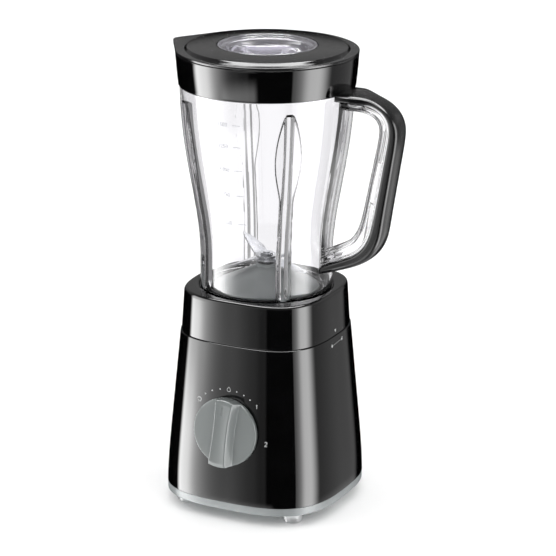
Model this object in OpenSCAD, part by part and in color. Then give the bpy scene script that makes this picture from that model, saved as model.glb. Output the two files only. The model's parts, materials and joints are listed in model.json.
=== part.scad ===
// Countertop blender: power unit, twist-lock goblet with blade unit, lid and filler cap.
// Origin on the motor axis, at the level of the worktop. +X is the handle side, -X the spout,
// -Y the front with the speed dial, +Z up. Millimetres.

/* [Base] */
// Half-width of the base just above the trim
base_half = 75; // [70:0.5:80]
// Height of the seam between the power unit and the goblet collar
seam_z = 149.2; // [149:0.1:149.4]
// Wall thickness of the housing
wall = 2.5; // [2:0.1:3]
// Squareness of the base in plan (2 is a circle)
squareness = 3; // [2.6:0.1:3.6]
// Height of the feet
foot_h = 10; // [8:0.5:11]
// Radius of a foot
foot_r = 8.5; // [6:0.25:9]

/* [Dial] */
// Height of the dial above the worktop
dial_z = 78; // [70:1:90]
// Radius of the speed knob
knob_r = 28.5; // [24:0.5:30]
// How far the knob's grip stands out of the housing
knob_proud = 13.5; // [11:0.5:16]
// Radius of the switch shaft
switch_shaft_r = 3; // [2.5:0.25:3.5]
// Turn of the grip bar at rest
knob_rest = -5; // [-10:1:10]

/* [Motor] */
// Radius of the motor shaft
shaft_r = 4; // [3.5:0.25:4.5]
// Radius of the armature
armature_r = 19.5; // [18:0.5:19.5]
// Half-width of the stator stack
stator_half = 38; // [37:0.5:40]
// Radius of the cooling fan
fan_r = 31; // [26:1:34]

/* [Goblet] */
// Height of the goblet collar's top
collar_top_z = 185.6; // [185:0.1:186]
// Radius of the jug's waist, outside
jug_waist_r = 54.5; // [54:0.1:55]
// Radius of the jug just under the rim band, outside
jug_rim_r = 70.9; // [70:0.1:71]
// Wall thickness of the jug
jug_wall = 3; // [2.6:0.1:3.2]
// How far the inner ribs stand out of the jug wall
rib_depth = 5; // [4:0.5:6]
// Width of the handle across its grip
handle_w = 22; // [18:1:24]
// Reach of the spout's tip from the axis
spout_reach = 86; // [84:0.5:88]

/* [Blades] */
// Radius swept by the blade tips
blade_r = 35; // [30:1:38]
// Thickness of the blade steel
blade_t = 1.6; // [1.2:0.1:2]

/* [Lid] */
// Outer radius of the lid's flange
flange_r = 74.6; // [74:0.1:75]
// Radius of the lid's raised dome
dome_r = 65.2; // [64:0.1:66]
// Radius of the opening for the filler cap
lid_hole_r = 40.75; // [38:0.25:42]

/* [Hidden] */
$fn = 96;
hull_fn = 32;
joint_gap = 0.3;
run_gap = 0.05;

// Levels of the power unit
plate_bottom_z = foot_h;
plate_floor_z = 11;
plate_floor_top_z = 13.5;
trim_top_z = 17;
deck_bottom_z = 145.4;
turret_r = 49;
turret_top_z = 160;
turret_roof = 3;
spigot_r = 36;
spigot_top_z = 166.4;
shaft_hole_r = 10;

// Half-width of the housing against height: upright at the foot, then an even taper
housing_profile = [[trim_top_z, base_half], [34, base_half - 0.6], [56, base_half - 2.2], [seam_z, 64.6]];
// Half-width of the goblet collar, which is a little slimmer at the seam
collar_bottom_z = seam_z + joint_gap;
collar_profile = [[collar_bottom_z, 63.8], [183.6, 61.8], [collar_top_z, 60.6]];

foot_x = 49;
foot_y = 47.5;
boss_reach = 68.2;
boss_r = 4.3;
gland_x = -15;
gland_z = 26;
gland_hole_r = 6;
cord_r = 3.6;

// The front face leans back; the dial sits square to it
dial_lean = 5;
dial_half = lookup(dial_z, housing_profile);

// Motor levels
lower_plate_z = 28;
upper_plate_z = 111;
plate_t = 4;
core_low_z = 62;
core_high_z = 98;
bore_r = 20.2;
leg_reach = 30;
leg_w = 10;
mount_reach = 38;
mount_low_z = upper_plate_z + plate_t;
mount_high_z = mount_low_z + 6;
bearing_r = 11;
bearing_h = 7;
lower_bearing_z = 29;
upper_bearing_z = 110.5;
commutator_low_z = 40;
commutator_high_z = 54;
commutator_r = 13;
brush_z = 47;
fan_low_z = 16;
fan_h = 8;
shaft_low_z = 15;
shaft_high_z = 165;

// Drive coupling: dogs on both halves, wide apart so the goblet can twist on and off
dog_count = 4;
dog_in_r = 11;
dog_out_r = 18;
dog_angle = 18;
driver_low_z = 161.2;
driver_high_z = 164;
dog_mesh_low_z = 164;
dog_mesh_high_z = 170;
driven_low_z = 170.5;
driven_high_z = 174;

// Twist lock
ring_low_z = turret_top_z + run_gap;
ring_high_z = 165;
ring_r = 46;
key_in_r = 41.6;
key_out_r = 45.4;
key_w = 10;
key_low_z = 161.4;
twist = 17;
plunger_reach = 42;
plunger_r = 2;
plunger_travel = 2.5;
plunger_angle = 180;

// Goblet levels
cup_low_z = 172;
cup_floor = 3;
cup_in_r = 50.9;
cup_wall = 3;
cup_hole_r = 30;
recess_r = jug_waist_r + 0.8;
recess_z = 183.6;
holder_low_z = cup_low_z + cup_floor;
holder_flange_t = 3;
holder_drum_r = 43.6;
holder_drum_z = 185;
hub_r = 8.5;
hub_z = 200;
hub_top_z = 203.5;
blade_low_z = 206;
blade_high_z = 209;
blade_nut_z = blade_high_z + blade_t;
blade_nut_h = 2;
gasket_t = 3;
neck_low_z = holder_low_z + holder_flange_t + gasket_t;
neck_r = 50.5;
neck_in_r = 46.5;
shoulder_z = recess_z + joint_gap;
waist_z = 211;
rim_z = 353;
band_low_z = 354.5;
band_top_z = 380.9;
handle_outer = handle_edge(
    [[80, 356.5], [103, 357], [121.5, 350.5], [120.6, 327]], [108, 252],
    [[106, 241], [104.5, 223], [80, 212.6]], [53, 202.5]
);
handle_split = handle_edge(
    [[80, 350], [100, 349.5], [113, 345], [112.6, 327]], [99.4, 252],
    [[96.5, 239.5], [92.5, 225.5], [77, 219.5]], [53, 209.5]
);
handle_inner = handle_edge(
    [[72, 341], [91, 341], [102.5, 340], [102, 325]], [87.5, 254],
    [[84.5, 243], [80.5, 235], [72, 230.5]], [53, 221.5]
);
band_seat_r = 69.4;
mouth_r = 66.8;
jug_top_z = 377;
swell_low = [jug_waist_r, 253.6];
swell_high = [70.2, 294.3];

// Lid levels
flange_low_z = band_top_z + joint_gap;
flange_top_z = 383.4;
dome_edge_z = 385.2;
dome_top_z = 386.7;
plug_low_z = 362;
plug_r = 65;
cap_r = lid_hole_r - joint_gap;

black = [0.06, 0.06, 0.065];
grey = [0.5, 0.5, 0.51];
silver = [0.72, 0.73, 0.74];
clear = [0.8, 0.82, 0.88, 0.45];
steel = [0.75, 0.76, 0.78];
copper = [0.72, 0.42, 0.24];
brass = [0.78, 0.66, 0.36];
rubber = [0.13, 0.13, 0.13];
nylon = [0.86, 0.85, 0.8];

// ---------- shared shapes ----------

// Outline of a rounded square: a circle at power 2, squarer as power grows
function squircle(half, power = squareness, steps = 72) = [
    for (i = [0 : steps - 1])
        let (a = 360 * i / steps, c = cos(a), s = sin(a))
        [half * sign(c) * pow(abs(c), 2 / power), half * sign(s) * pow(abs(s), 2 / power)]
];

// Point at share t along a cubic curve with the four control points p
function curve_point(p, t) =
    pow(1 - t, 3) * p[0] + 3 * pow(1 - t, 2) * t * p[1] + 3 * (1 - t) * t * t * p[2] + pow(t, 3) * p[3];

function curve(p, steps) = [for (i = [0 : steps]) curve_point(p, i / steps)];

function reversed(list) = [for (i = [len(list) - 1 : -1 : 0]) list[i]];

// A ring or tube from z_low to z_high
module tube(r_out, r_in, z_low, z_high) {
    translate([0, 0, z_low])
        difference() {
            cylinder(r = r_out, h = z_high - z_low);
            translate([0, 0, -1])
                cylinder(r = r_in, h = z_high - z_low + 2);
        }
}

module disc(r, z_low, z_high) {
    translate([0, 0, z_low])
        cylinder(r = r, h = z_high - z_low);
}

// The solid inside a profile of [z, half-width] pairs, drawn in by inset
module tapered_block(profile, inset, z_low, z_high) {
    skin = 0.01;
    levels = concat([z_low], [for (p = profile) if (p[0] > z_low && p[0] < z_high) p[0]], [z_high]);
    hull() {
        for (z = levels)
            translate([0, 0, min(z, z_high - skin)])
                linear_extrude(skin)
                    polygon(squircle(lookup(z, profile) - inset));
    }
}

// Children stand on the front face, at the dial, with their own +Z pointing out of it
module at_dial() {
    translate([0, -dial_half, dial_z])
        rotate([90 - dial_lean, 0, 0])
            children();
}

module four_corners(x, y) {
    for (sx = [-1, 1], sy = [-1, 1])
        translate([sx * x, sy * y, 0])
            children();
}

module four_sides(reach) {
    for (a = [0 : 90 : 270])
        rotate(a)
            translate([reach, 0, 0])
                children();
}

// A sector of a tube, centred on the direction +X
module ring_sector(r_out, r_in, angle, z_low, z_high) {
    translate([0, 0, z_low])
        rotate(-angle / 2)
            rotate_extrude(angle = angle)
                translate([r_in, 0])
                    square([r_out - r_in, z_high - z_low]);
}

// Points of a coil spring standing along +Z, and the spring drawn through them
function coil_point(r, wire_r, pitch, turn_share, side, sides) =
    let (a = 360 * turn_share, b = 360 * side / sides)
    [(r + wire_r * cos(b)) * cos(a), (r + wire_r * cos(b)) * sin(a), pitch * turn_share + wire_r * sin(b)];

module coil_spring(r, wire_r, pitch, turns) {
    sides = 8;
    steps = turns * 12;
    points = [
        for (i = [0 : steps], j = [0 : sides - 1])
            coil_point(r, wire_r, pitch, i / 12, j, sides)
    ];
    walls = [
        for (i = [0 : steps - 1], j = [0 : sides - 1])
            let (k = (j + 1) % sides)
            [i * sides + j, i * sides + k, (i + 1) * sides + k, (i + 1) * sides + j]
    ];
    start_cap = [for (j = [sides - 1 : -1 : 0]) j];
    end_cap = [for (j = [0 : sides - 1]) steps * sides + j];
    polyhedron(points, concat([start_cap], walls, [end_cap]));
}

// ---------- power unit ----------

module base_housing() {
    color(black)
        difference() {
            union() {
                difference() {
                    tapered_block(housing_profile, 0, trim_top_z, seam_z);
                    translate([0, 0, -0.1])
                        tapered_block(housing_profile, wall, trim_top_z, deck_bottom_z);
                }
                disc(turret_r, deck_bottom_z - 1, turret_top_z);
                disc(spigot_r, turret_top_z - 1, spigot_top_z);
                disc(spigot_r + 1.2, ring_high_z + run_gap, spigot_top_z);
                four_sides(boss_reach)
                    disc(boss_r, plate_floor_top_z, 44);
                four_corners(mount_reach, mount_reach)
                    disc(5, mount_high_z, deck_bottom_z + 1);
            }
            disc(turret_r - 3, deck_bottom_z - 2, turret_top_z - turret_roof);
            disc(spigot_r - 4, turret_top_z, spigot_top_z + 1);
            disc(shaft_hole_r, turret_top_z - turret_roof - 1, turret_top_z + 1);
            four_sides(boss_reach)
                disc(1.7, plate_floor_top_z - 1, 30);
            four_corners(mount_reach, mount_reach)
                disc(2, mount_high_z - 1, mount_high_z + 14);
            rotate(plunger_angle)
                translate([plunger_reach, 0, 0])
                    disc(plunger_r + run_gap, turret_top_z - turret_roof - 1, turret_top_z + 1);
            at_dial()
                translate([0, 0, -2 * wall])
                    cylinder(r = switch_shaft_r + run_gap, h = 4 * wall);
            translate([gland_x, 0, gland_z])
                rotate([-90, 0, 0])
                    cylinder(r = gland_hole_r, h = base_half + 5);
        }
}

module base_plate() {
    vent_count = 5;
    vent_pitch = 7;
    color(silver)
        difference() {
            translate([0, 0, plate_bottom_z])
                linear_extrude(trim_top_z - plate_bottom_z)
                    polygon(squircle(base_half - 0.2));
            translate([0, 0, plate_floor_top_z])
                linear_extrude(trim_top_z)
                    polygon(squircle(base_half - 2.2));
            translate([0, 0, plate_bottom_z - 1])
                linear_extrude(plate_floor_z - plate_bottom_z + 1)
                    difference() {
                        polygon(squircle(base_half - 3));
                        four_corners(foot_x, foot_y)
                            circle(r = foot_r + 2);
                    }
            four_corners(foot_x, foot_y)
                disc(4, plate_bottom_z - 1, trim_top_z);
            four_sides(boss_reach)
                disc(2, plate_bottom_z - 1, trim_top_z);
            for (i = [0 : vent_count - 1], side = [-1, 1])
                translate([(i - (vent_count - 1) / 2) * vent_pitch - 1.5, side * 18 - 11, plate_bottom_z])
                    cube([3, 22, trim_top_z - plate_bottom_z]);
        }
}

module feet() {
    stem_r = 4;
    stem_top_z = plate_floor_top_z + 1.5;
    color(clear)
        four_corners(foot_x, foot_y)
            rotate_extrude()
                polygon([
                    [0, 0], [foot_r - 1.5, 0], [foot_r - 0.4, 0.6], [foot_r, 2],
                    [foot_r, foot_h], [stem_r, foot_h], [stem_r, stem_top_z], [0, stem_top_z]
                ]);
}

module base_screws() {
    color(steel)
        four_sides(boss_reach)
            difference() {
                union() {
                    disc(3.2, plate_floor_z - 1, plate_floor_z);
                    disc(1.7, plate_floor_z - 0.5, 29);
                }
                translate([0, 0, plate_floor_z - 1])
                    cube([3.6, 0.8, 1.2], center = true);
                translate([0, 0, plate_floor_z - 1])
                    cube([0.8, 3.6, 1.2], center = true);
            }
}

module cord_gland() {
    plan_share = pow(1 - pow(abs(gland_x) / base_half, squareness), 1 / squareness);
    face_y = lookup(gland_z, housing_profile) * plan_share;
    clearance = 0.8;
    outer_end = 2.6;
    inner_end = -8;
    flange_r = gland_hole_r + 2;
    color(rubber)
        translate([gland_x, face_y, gland_z])
            rotate([-90, 0, 0]) {
                tube(gland_hole_r, cord_r, inner_end, outer_end);
                tube(flange_r, cord_r, clearance, outer_end);
                tube(flange_r, cord_r, inner_end, -wall - clearance);
            }
}

module motor_mounts() {
    color(rubber)
        four_corners(mount_reach, mount_reach)
            tube(6.5, 2.2, mount_low_z, mount_high_z);
}

module motor_screws() {
    color(steel)
        four_corners(mount_reach, mount_reach) {
            disc(4, upper_plate_z - 2.5, upper_plate_z);
            disc(2, upper_plate_z - 1, mount_high_z + 13);
        }
}

// A bearing bracket: cross-shaped plate, a boss for the bearing and four legs to the stator
module bracket(plate_z, boss_low, boss_high, leg_low, leg_high, reach) {
    arm_w = 14;
    hub_plate_r = 19;
    arm_start = bearing_r + 5;
    difference() {
        union() {
            disc(hub_plate_r, plate_z, plate_z + plate_t);
            disc(bearing_r + 3, boss_low, boss_high);
            for (a = [45 : 90 : 315])
                rotate(a)
                    translate([arm_start, -arm_w / 2, plate_z])
                        cube([reach - arm_start, arm_w, plate_t]);
            four_corners(leg_reach, leg_reach)
                translate([-leg_w / 2, -leg_w / 2, leg_low])
                    cube([leg_w, leg_w, leg_high - leg_low]);
        }
        four_corners(leg_reach, leg_reach)
            disc(2, leg_low - 10, leg_high + 10);
    }
}

module upper_bracket() {
    seat_top_z = upper_bearing_z + bearing_h;
    color(silver)
        difference() {
            bracket(
                upper_plate_z, upper_bearing_z - 1, seat_top_z,
                core_high_z, upper_plate_z + 1, 62
            );
            disc(bearing_r, upper_bearing_z, seat_top_z + 1);
            disc(7, upper_bearing_z - 2, upper_bearing_z + 1);
            four_corners(mount_reach, mount_reach)
                disc(2.2, upper_plate_z - 1, upper_plate_z + plate_t + 1);
        }
}

module lower_bracket() {
    seat_top_z = lower_bearing_z + bearing_h;
    color(silver)
        difference() {
            bracket(
                lower_plate_z, lower_bearing_z, seat_top_z + 1,
                lower_plate_z + 1, core_low_z, 50
            );
            disc(bearing_r, lower_plate_z - 1, seat_top_z);
            disc(7, lower_plate_z, seat_top_z + 2);
        }
}

// Stator lamination: square yoke, two pole necks on the Y axis, and their curved shoes
module lamination() {
    coil_space_r = 30;
    neck_w = 20;
    shoe_w = 34;
    shoe_r = 24;
    difference() {
        polygon(squircle(stator_half, 6));
        circle(r = coil_space_r);
        four_corners(leg_reach, leg_reach)
            circle(r = 2);
    }
    difference() {
        union() {
            intersection() {
                circle(r = coil_space_r + 0.5);
                square([neck_w, 90], center = true);
            }
            intersection() {
                circle(r = shoe_r);
                square([shoe_w, 90], center = true);
            }
        }
        circle(r = bore_r);
    }
}

module stator_core() {
    color(steel)
        translate([0, 0, core_low_z])
            linear_extrude(core_high_z - core_low_z)
                lamination();
}

module field_coils() {
    color(copper)
        for (side = [90, 270])
            rotate(side)
                difference() {
                    intersection() {
                        ring_sector(29.7, 24.3, 80, core_low_z - 7, core_high_z + 7);
                        translate([20, -16.5, core_low_z - 7])
                            cube([12, 33, core_high_z - core_low_z + 14]);
                    }
                    translate([20, -10.2, core_low_z - 0.2])
                        cube([12, 20.4, core_high_z - core_low_z + 0.4]);
                }
}

module stator_bolts() {
    color(steel)
        four_corners(leg_reach, leg_reach) {
            disc(3.5, lower_plate_z - 2.5, lower_plate_z);
            disc(2, lower_plate_z - 1, upper_plate_z + plate_t);
        }
}

module ball_bearing(z) {
    ball_count = 8;
    ball_ring_r = (bearing_r + shaft_r) / 2;
    tube(bearing_r, bearing_r - 2, z, z + bearing_h);
    tube(shaft_r + 2, shaft_r, z, z + bearing_h);
    tube(bearing_r - 1.5, shaft_r + 1.5, z + 1, z + bearing_h - 1);
    for (i = [0 : ball_count - 1])
        rotate(360 * i / ball_count)
            translate([ball_ring_r, 0, z + 0.5])
                cylinder(r = 1.2, h = bearing_h - 1);
}

module upper_bearing() {
    color(steel)
        difference() {
            ball_bearing(upper_bearing_z);
            disc(shaft_r + run_gap, upper_bearing_z - 1, upper_bearing_z + bearing_h + 1);
        }
}

module lower_bearing() {
    color(steel)
        difference() {
            ball_bearing(lower_bearing_z);
            disc(shaft_r + run_gap, lower_bearing_z - 1, lower_bearing_z + bearing_h + 1);
        }
}

module brush_pair() {
    for (a = [0, 180])
        rotate(a)
            children();
}

module brush_holders() {
    color(nylon)
        brush_pair() {
            difference() {
                translate([15, -5.5, brush_z - 6])
                    cube([21, 11, 12]);
                translate([14, -3.2, brush_z - 4.2])
                    cube([20.5, 6.4, 8.4]);
            }
            translate([20, -5.5, lower_plate_z + plate_t])
                cube([8, 11, brush_z - 6 - lower_plate_z - plate_t]);
            ring_sector(27, 15, 32, lower_plate_z + plate_t, lower_plate_z + plate_t + 3);
        }
}

module carbon_brushes() {
    color(rubber)
        brush_pair()
            difference() {
                translate([12, -3, brush_z - 4])
                    cube([12, 6, 8]);
                disc(commutator_r + joint_gap, brush_z - 6, brush_z + 6);
            }
}

module brush_springs() {
    color(steel)
        brush_pair()
            translate([24.6, 0, brush_z])
                rotate([0, 90, 0])
                    coil_spring(2.2, 0.4, 1.8, 5);
}

module selector_switch() {
    body_w = 30;
    body_h = 26;
    body_d = 18;
    back = -wall - 1.5;
    color(rubber)
        at_dial()
            difference() {
                union() {
                    translate([-body_w / 2, -body_h / 2, back - body_d])
                        cube([body_w, body_h, body_d]);
                    translate([0, 0, back - 1])
                        cylinder(r = 6, h = 1 - back - wall - 0.6);
                    for (x = [-10, -3, 4, 11])
                        translate([x - 0.4, -3, back - body_d - 7])
                            cube([0.8, 6, 8]);
                }
                translate([0, 0, back - body_d + 4])
                    cylinder(r = switch_shaft_r + run_gap, h = body_d + 10);
            }
}

module switch_nut() {
    nut_low = -wall - 1.45;
    color(steel)
        at_dial()
            difference() {
                translate([0, 0, nut_low])
                    cylinder(r = 9, h = 0.8, $fn = 6);
                translate([0, 0, nut_low - 1])
                    cylinder(r = 6, h = 4);
            }
}

module interlock_switch() {
    top_z = 146;
    color(rubber)
        rotate(plunger_angle)
            translate([plunger_reach, 0, 0]) {
                difference() {
                    translate([-8, -5, top_z - 12])
                        cube([11.5, 10, 12]);
                    disc(plunger_r + run_gap, top_z - 6, top_z + 1);
                }
                for (y = [-3, 3])
                    translate([-2, y - 0.4, top_z - 18])
                        cube([4, 0.8, 7]);
            }
}

module terminal_block() {
    way_count = 3;
    color(nylon)
        translate([4, 52, plate_floor_top_z])
            difference() {
                cube([way_count * 8, 12, 14]);
                for (i = [0 : way_count - 1])
                    translate([8 * i + 4, 6, 4])
                        cylinder(r = 2.4, h = 12);
            }
}

module suppressor_capacitor() {
    color("gold")
        translate([-56, -20, 60]) {
            cube([8, 26, 18]);
            for (y = [6, 20])
                translate([4, y, -8])
                    cylinder(r = 0.4, h = 9);
        }
}

// ---------- dial ----------

module speed_knob() {
    skirt_t = 5;
    base_gap = 0.6;
    bar_top_half = 6.5;
    bar_foot_half = 10.5;
    color(grey)
        at_dial()
            difference() {
                union() {
                    rotate_extrude()
                        polygon([
                            [0, base_gap], [knob_r, base_gap], [knob_r, skirt_t - 1.2],
                            [knob_r - 1.2, skirt_t], [0, skirt_t]
                        ]);
                    intersection() {
                        translate([0, 0, base_gap])
                            cylinder(r = knob_r, h = knob_proud - base_gap);
                        rotate([90, 0, knob_rest])
                            linear_extrude(2 * knob_r, center = true)
                                polygon([
                                    [-bar_foot_half, base_gap], [bar_foot_half, base_gap],
                                    [bar_foot_half, skirt_t - 0.4], [bar_top_half, knob_proud],
                                    [-bar_top_half, knob_proud], [-bar_foot_half, skirt_t - 0.4]
                                ]);
                    }
                }
                translate([0, 0, -1])
                    cylinder(r = switch_shaft_r, h = 9);
                rotate(knob_rest)
                    translate([-1.2, knob_r - 11, knob_proud - 0.8])
                        cube([2.4, 7, 2]);
            }
}

module switch_shaft() {
    color(steel)
        at_dial()
            translate([0, 0, -wall - 1.5 - 13])
                cylinder(r = switch_shaft_r, h = wall + 1.5 + 13 + 8);
}

// ---------- motor rotor ----------

module motor_shaft() {
    color(steel)
        disc(shaft_r, shaft_low_z, shaft_high_z);
}

module armature_core() {
    slot_count = 12;
    color(steel)
        translate([0, 0, core_low_z])
            linear_extrude(core_high_z - core_low_z)
                difference() {
                    circle(r = armature_r);
                    circle(r = shaft_r);
                    for (i = [0 : slot_count - 1])
                        rotate(360 * i / slot_count)
                            translate([11, -1.6])
                                square([10, 3.2]);
                }
}

module armature_windings() {
    slot_count = 12;
    color(copper) {
        for (z = [core_low_z - 6, core_high_z])
            translate([0, 0, z])
                rotate_extrude()
                    polygon([[shaft_r, 0], [15, 0], [17.5, 1.5], [17.5, 4.5], [15, 6], [shaft_r, 6]]);
        for (i = [0 : slot_count - 1])
            rotate(360 * i / slot_count)
                translate([11.2, -1.4, core_low_z])
                    cube([6, 2.8, core_high_z - core_low_z]);
    }
}

module commutator() {
    bar_count = 24;
    color(copper)
        difference() {
            tube(commutator_r, shaft_r, commutator_low_z, commutator_high_z);
            for (i = [0 : bar_count - 1])
                rotate(360 * i / bar_count)
                    translate([commutator_r - 1, -0.25, commutator_low_z + 1])
                        cube([2, 0.5, commutator_high_z - commutator_low_z]);
        }
}

module cooling_fan() {
    fan_blades = 9;
    color(nylon) {
        tube(9, shaft_r, fan_low_z, fan_low_z + fan_h);
        tube(fan_r, 8.5, fan_low_z + fan_h - 1.5, fan_low_z + fan_h);
        for (i = [0 : fan_blades - 1])
            rotate(360 * i / fan_blades)
                translate([10, -0.7, fan_low_z])
                    rotate([0, 0, 18])
                        cube([fan_r - 12, 1.4, fan_h - 1]);
    }
}

module drive_coupling() {
    color(rubber)
        difference() {
            union() {
                disc(19, driver_low_z, driver_high_z);
                for (i = [0 : dog_count - 1])
                    rotate(360 * i / dog_count)
                        ring_sector(dog_out_r, dog_in_r, dog_angle, driver_high_z - 0.5, dog_mesh_high_z);
                disc(8, turret_top_z - 6, driver_high_z + 2);
            }
            disc(shaft_r, turret_top_z - 8, shaft_high_z);
        }
}

module shaft_slinger() {
    color(rubber)
        tube(9, shaft_r, 147, 149);
}

// ---------- twist lock ----------

// Pocket under the ring that lets the plunger rise as the ring turns to unlocked
module plunger_ramp() {
    clearance = 0.4;
    half_w = plunger_r + clearance;
    hull() {
        for (share = [0, 1])
            rotate(plunger_angle - twist * share)
                translate([plunger_reach - half_w, -half_w, ring_low_z - 1])
                    cube([2 * half_w, 2 * half_w, 1.05 + plunger_travel * share + 0.25]);
    }
}

module interlock_ring() {
    color(nylon)
        difference() {
            tube(ring_r, spigot_r + run_gap, ring_low_z, ring_high_z);
            for (a = [45 : 90 : 315])
                rotate(a)
                    translate([key_in_r - 0.5, -key_w / 2 - 0.6, ring_low_z - 1])
                        cube([10, key_w + 1.2, ring_high_z]);
            plunger_ramp();
        }
}

module interlock_plunger() {
    color(nylon)
        rotate(plunger_angle)
            translate([plunger_reach, 0, 0]) {
                disc(plunger_r, 141, turret_top_z);
                disc(plunger_r + 1.5, 150, 151.5);
            }
}

// ---------- blade base ----------

module goblet_collar() {
    skirt_in = 2.5;
    deck_z = 181.4;
    color(black)
        difference() {
            union() {
                difference() {
                    tapered_block(collar_profile, 0, collar_bottom_z, collar_top_z);
                    translate([0, 0, -0.1])
                        tapered_block(collar_profile, skirt_in, collar_bottom_z, deck_z);
                }
                disc(cup_in_r + cup_wall, cup_low_z, deck_z + 1);
                for (a = [45 : 90 : 315])
                    rotate(a)
                        translate([key_in_r, -key_w / 2, key_low_z])
                            cube([key_out_r - key_in_r, key_w, cup_low_z - key_low_z + 1]);
            }
            disc(cup_in_r, cup_low_z + cup_floor, collar_top_z + 1);
            disc(recess_r, recess_z, collar_top_z + 1);
            disc(cup_hole_r, cup_low_z - 1, cup_low_z + cup_floor + 1);
        }
}

module blade_holder() {
    skin = 2.5;
    tube_r = 9.5;
    bush_r = 7;
    color(grey)
        rotate_extrude()
            polygon([
                [bush_r, cup_low_z + 4], [tube_r, cup_low_z + 4], [tube_r, hub_z - 8],
                [holder_drum_r - skin, holder_drum_z - skin - 1], [holder_drum_r - skin, holder_low_z],
                [neck_r, holder_low_z], [neck_r, holder_low_z + holder_flange_t],
                [holder_drum_r, holder_low_z + holder_flange_t], [holder_drum_r, holder_drum_z - 0.5],
                [holder_drum_r - 0.5, holder_drum_z], [hub_r + 3, hub_z], [hub_r, hub_z + 1],
                [hub_r, hub_top_z], [bush_r, hub_top_z]
            ]);
}

module blade_bush() {
    color(brass)
        tube(7, shaft_r + run_gap, cup_low_z + 4, 196);
}

module shaft_seal() {
    color(rubber)
        tube(7, shaft_r + run_gap, 196, hub_top_z - 0.5);
}

// ---------- blade rotor ----------

module blade_shaft() {
    color(steel) {
        disc(shaft_r, driven_low_z - 3, 205);
        disc(shaft_r - 1, 204, blade_nut_z + blade_nut_h + 0.6);
    }
}

module driven_coupling() {
    hub_low = driven_low_z - 3;
    dog_low = dog_mesh_low_z + 0.5;
    color(rubber)
        difference() {
            union() {
                disc(19, driven_low_z, driven_high_z);
                disc(8, hub_low, driven_high_z + 1.5);
                rotate(180 / dog_count)
                    for (i = [0 : dog_count - 1])
                        rotate(360 * i / dog_count)
                            ring_sector(dog_out_r, dog_in_r, dog_angle, dog_low, driven_low_z + 0.5);
            }
            disc(shaft_r, hub_low - 1, driven_high_z + 2);
        }
}

// One blade arm in plan, pointing along +X: a sharp leading edge and a hooked tip
module blade_plan(reach, root_w) {
    root_x = -0.8;
    polygon([
        [root_x, -root_w / 2], [reach * 0.55, -root_w / 2], [reach * 0.92, -root_w * 0.12],
        [reach, root_w * 0.34], [reach * 0.78, root_w * 0.46],
        [reach * 0.4, root_w / 2], [root_x, root_w / 2]
    ]);
}

// Two opposite arms bent up or down from a flat hub
module blade_pair(z, bend, root_w) {
    flat_reach = 10;
    reach = (blade_r - flat_reach) / cos(bend);
    difference() {
        union() {
            disc(9, z, z + blade_t);
            for (a = [0, 180])
                rotate(a) {
                    translate([0, -root_w / 2, z])
                        cube([flat_reach, root_w, blade_t]);
                    translate([flat_reach, 0, z + blade_t / 2])
                        rotate([0, -bend, 0])
                            translate([0, 0, -blade_t / 2])
                                linear_extrude(blade_t)
                                    blade_plan(reach, root_w - 0.4);
                }
        }
        disc(shaft_r - 1, z - 1, z + blade_t + 1);
    }
}

module lower_blades() {
    color(steel)
        rotate(8)
            blade_pair(blade_low_z, -22, 13);
}

module upper_blades() {
    color(steel)
        rotate(-35)
            blade_pair(blade_high_z, 25, 13);
}

module blade_washer() {
    color(steel)
        tube(6.5, shaft_r - 1, blade_low_z + blade_t, blade_high_z);
}

module blade_nut() {
    color(steel)
        difference() {
            translate([0, 0, blade_nut_z])
                cylinder(r = 5.8, h = blade_nut_h, $fn = 6);
            disc(shaft_r - 1, blade_nut_z - 1, blade_nut_z + blade_nut_h + 1);
        }
}

// ---------- goblet ----------

module goblet_gasket() {
    color(rubber)
        tube(neck_r - 0.3, holder_drum_r + joint_gap, holder_low_z + holder_flange_t, neck_low_z);
}

// The jug's flank, from the waist to the rim, drawn in by inset
function flank(inset) = curve([
    [jug_waist_r - inset, waist_z], [swell_low[0] - inset, swell_low[1]],
    [swell_high[0] - inset, swell_high[1]], [jug_rim_r - inset, rim_z]
], 20);

// Edges of the handle in the plane of the jug's axis: crest, long side and foot
function handle_edge(crest, side_low, foot, root) = concat(
    curve(crest, 8), curve(concat([side_low], foot), 8), [root]
);

// A slice of the handle between two of its edges, w wide
module handle_slice(outer, inner, top_x, w) {
    translate([0, w / 2, 0])
        rotate([90, 0, 0])
            linear_extrude(w)
                polygon(concat([[top_x, outer[0][1]]], outer, reversed(inner), [[top_x, inner[0][1]]]));
}

// A leaf outline on the wall: slim stem below, broad blade above, pointed top
module rib_outline() {
    stem = 6;
    leaf = 11.5;
    polygon(concat(
        [[stem, shoulder_z], [stem - 0.5, 270]],
        curve([[stem - 0.5, 272], [stem + 1, 290], [leaf + 3, 307], [0, 344]], 8),
        reversed(curve([[0.5 - stem, 272], [-stem - 1, 290], [-leaf - 3, 307], [0, 344]], 8)),
        [[0.5 - stem, 270], [-stem, shoulder_z]]
    ));
}

module jug_ribs() {
    intersection() {
        rotate_extrude()
            polygon(concat(
                [[jug_waist_r - 0.5, shoulder_z + 3]], flank(0.5),
                reversed(flank(jug_wall + rib_depth)), [[jug_waist_r - jug_wall - rib_depth, shoulder_z + 3]]
            ));
        for (a = [42 : 90 : 312])
            rotate(a)
                translate([80, 0, 0])
                    rotate([90, 0, -90])
                        linear_extrude(50)
                            rib_outline();
    }
}

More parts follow.
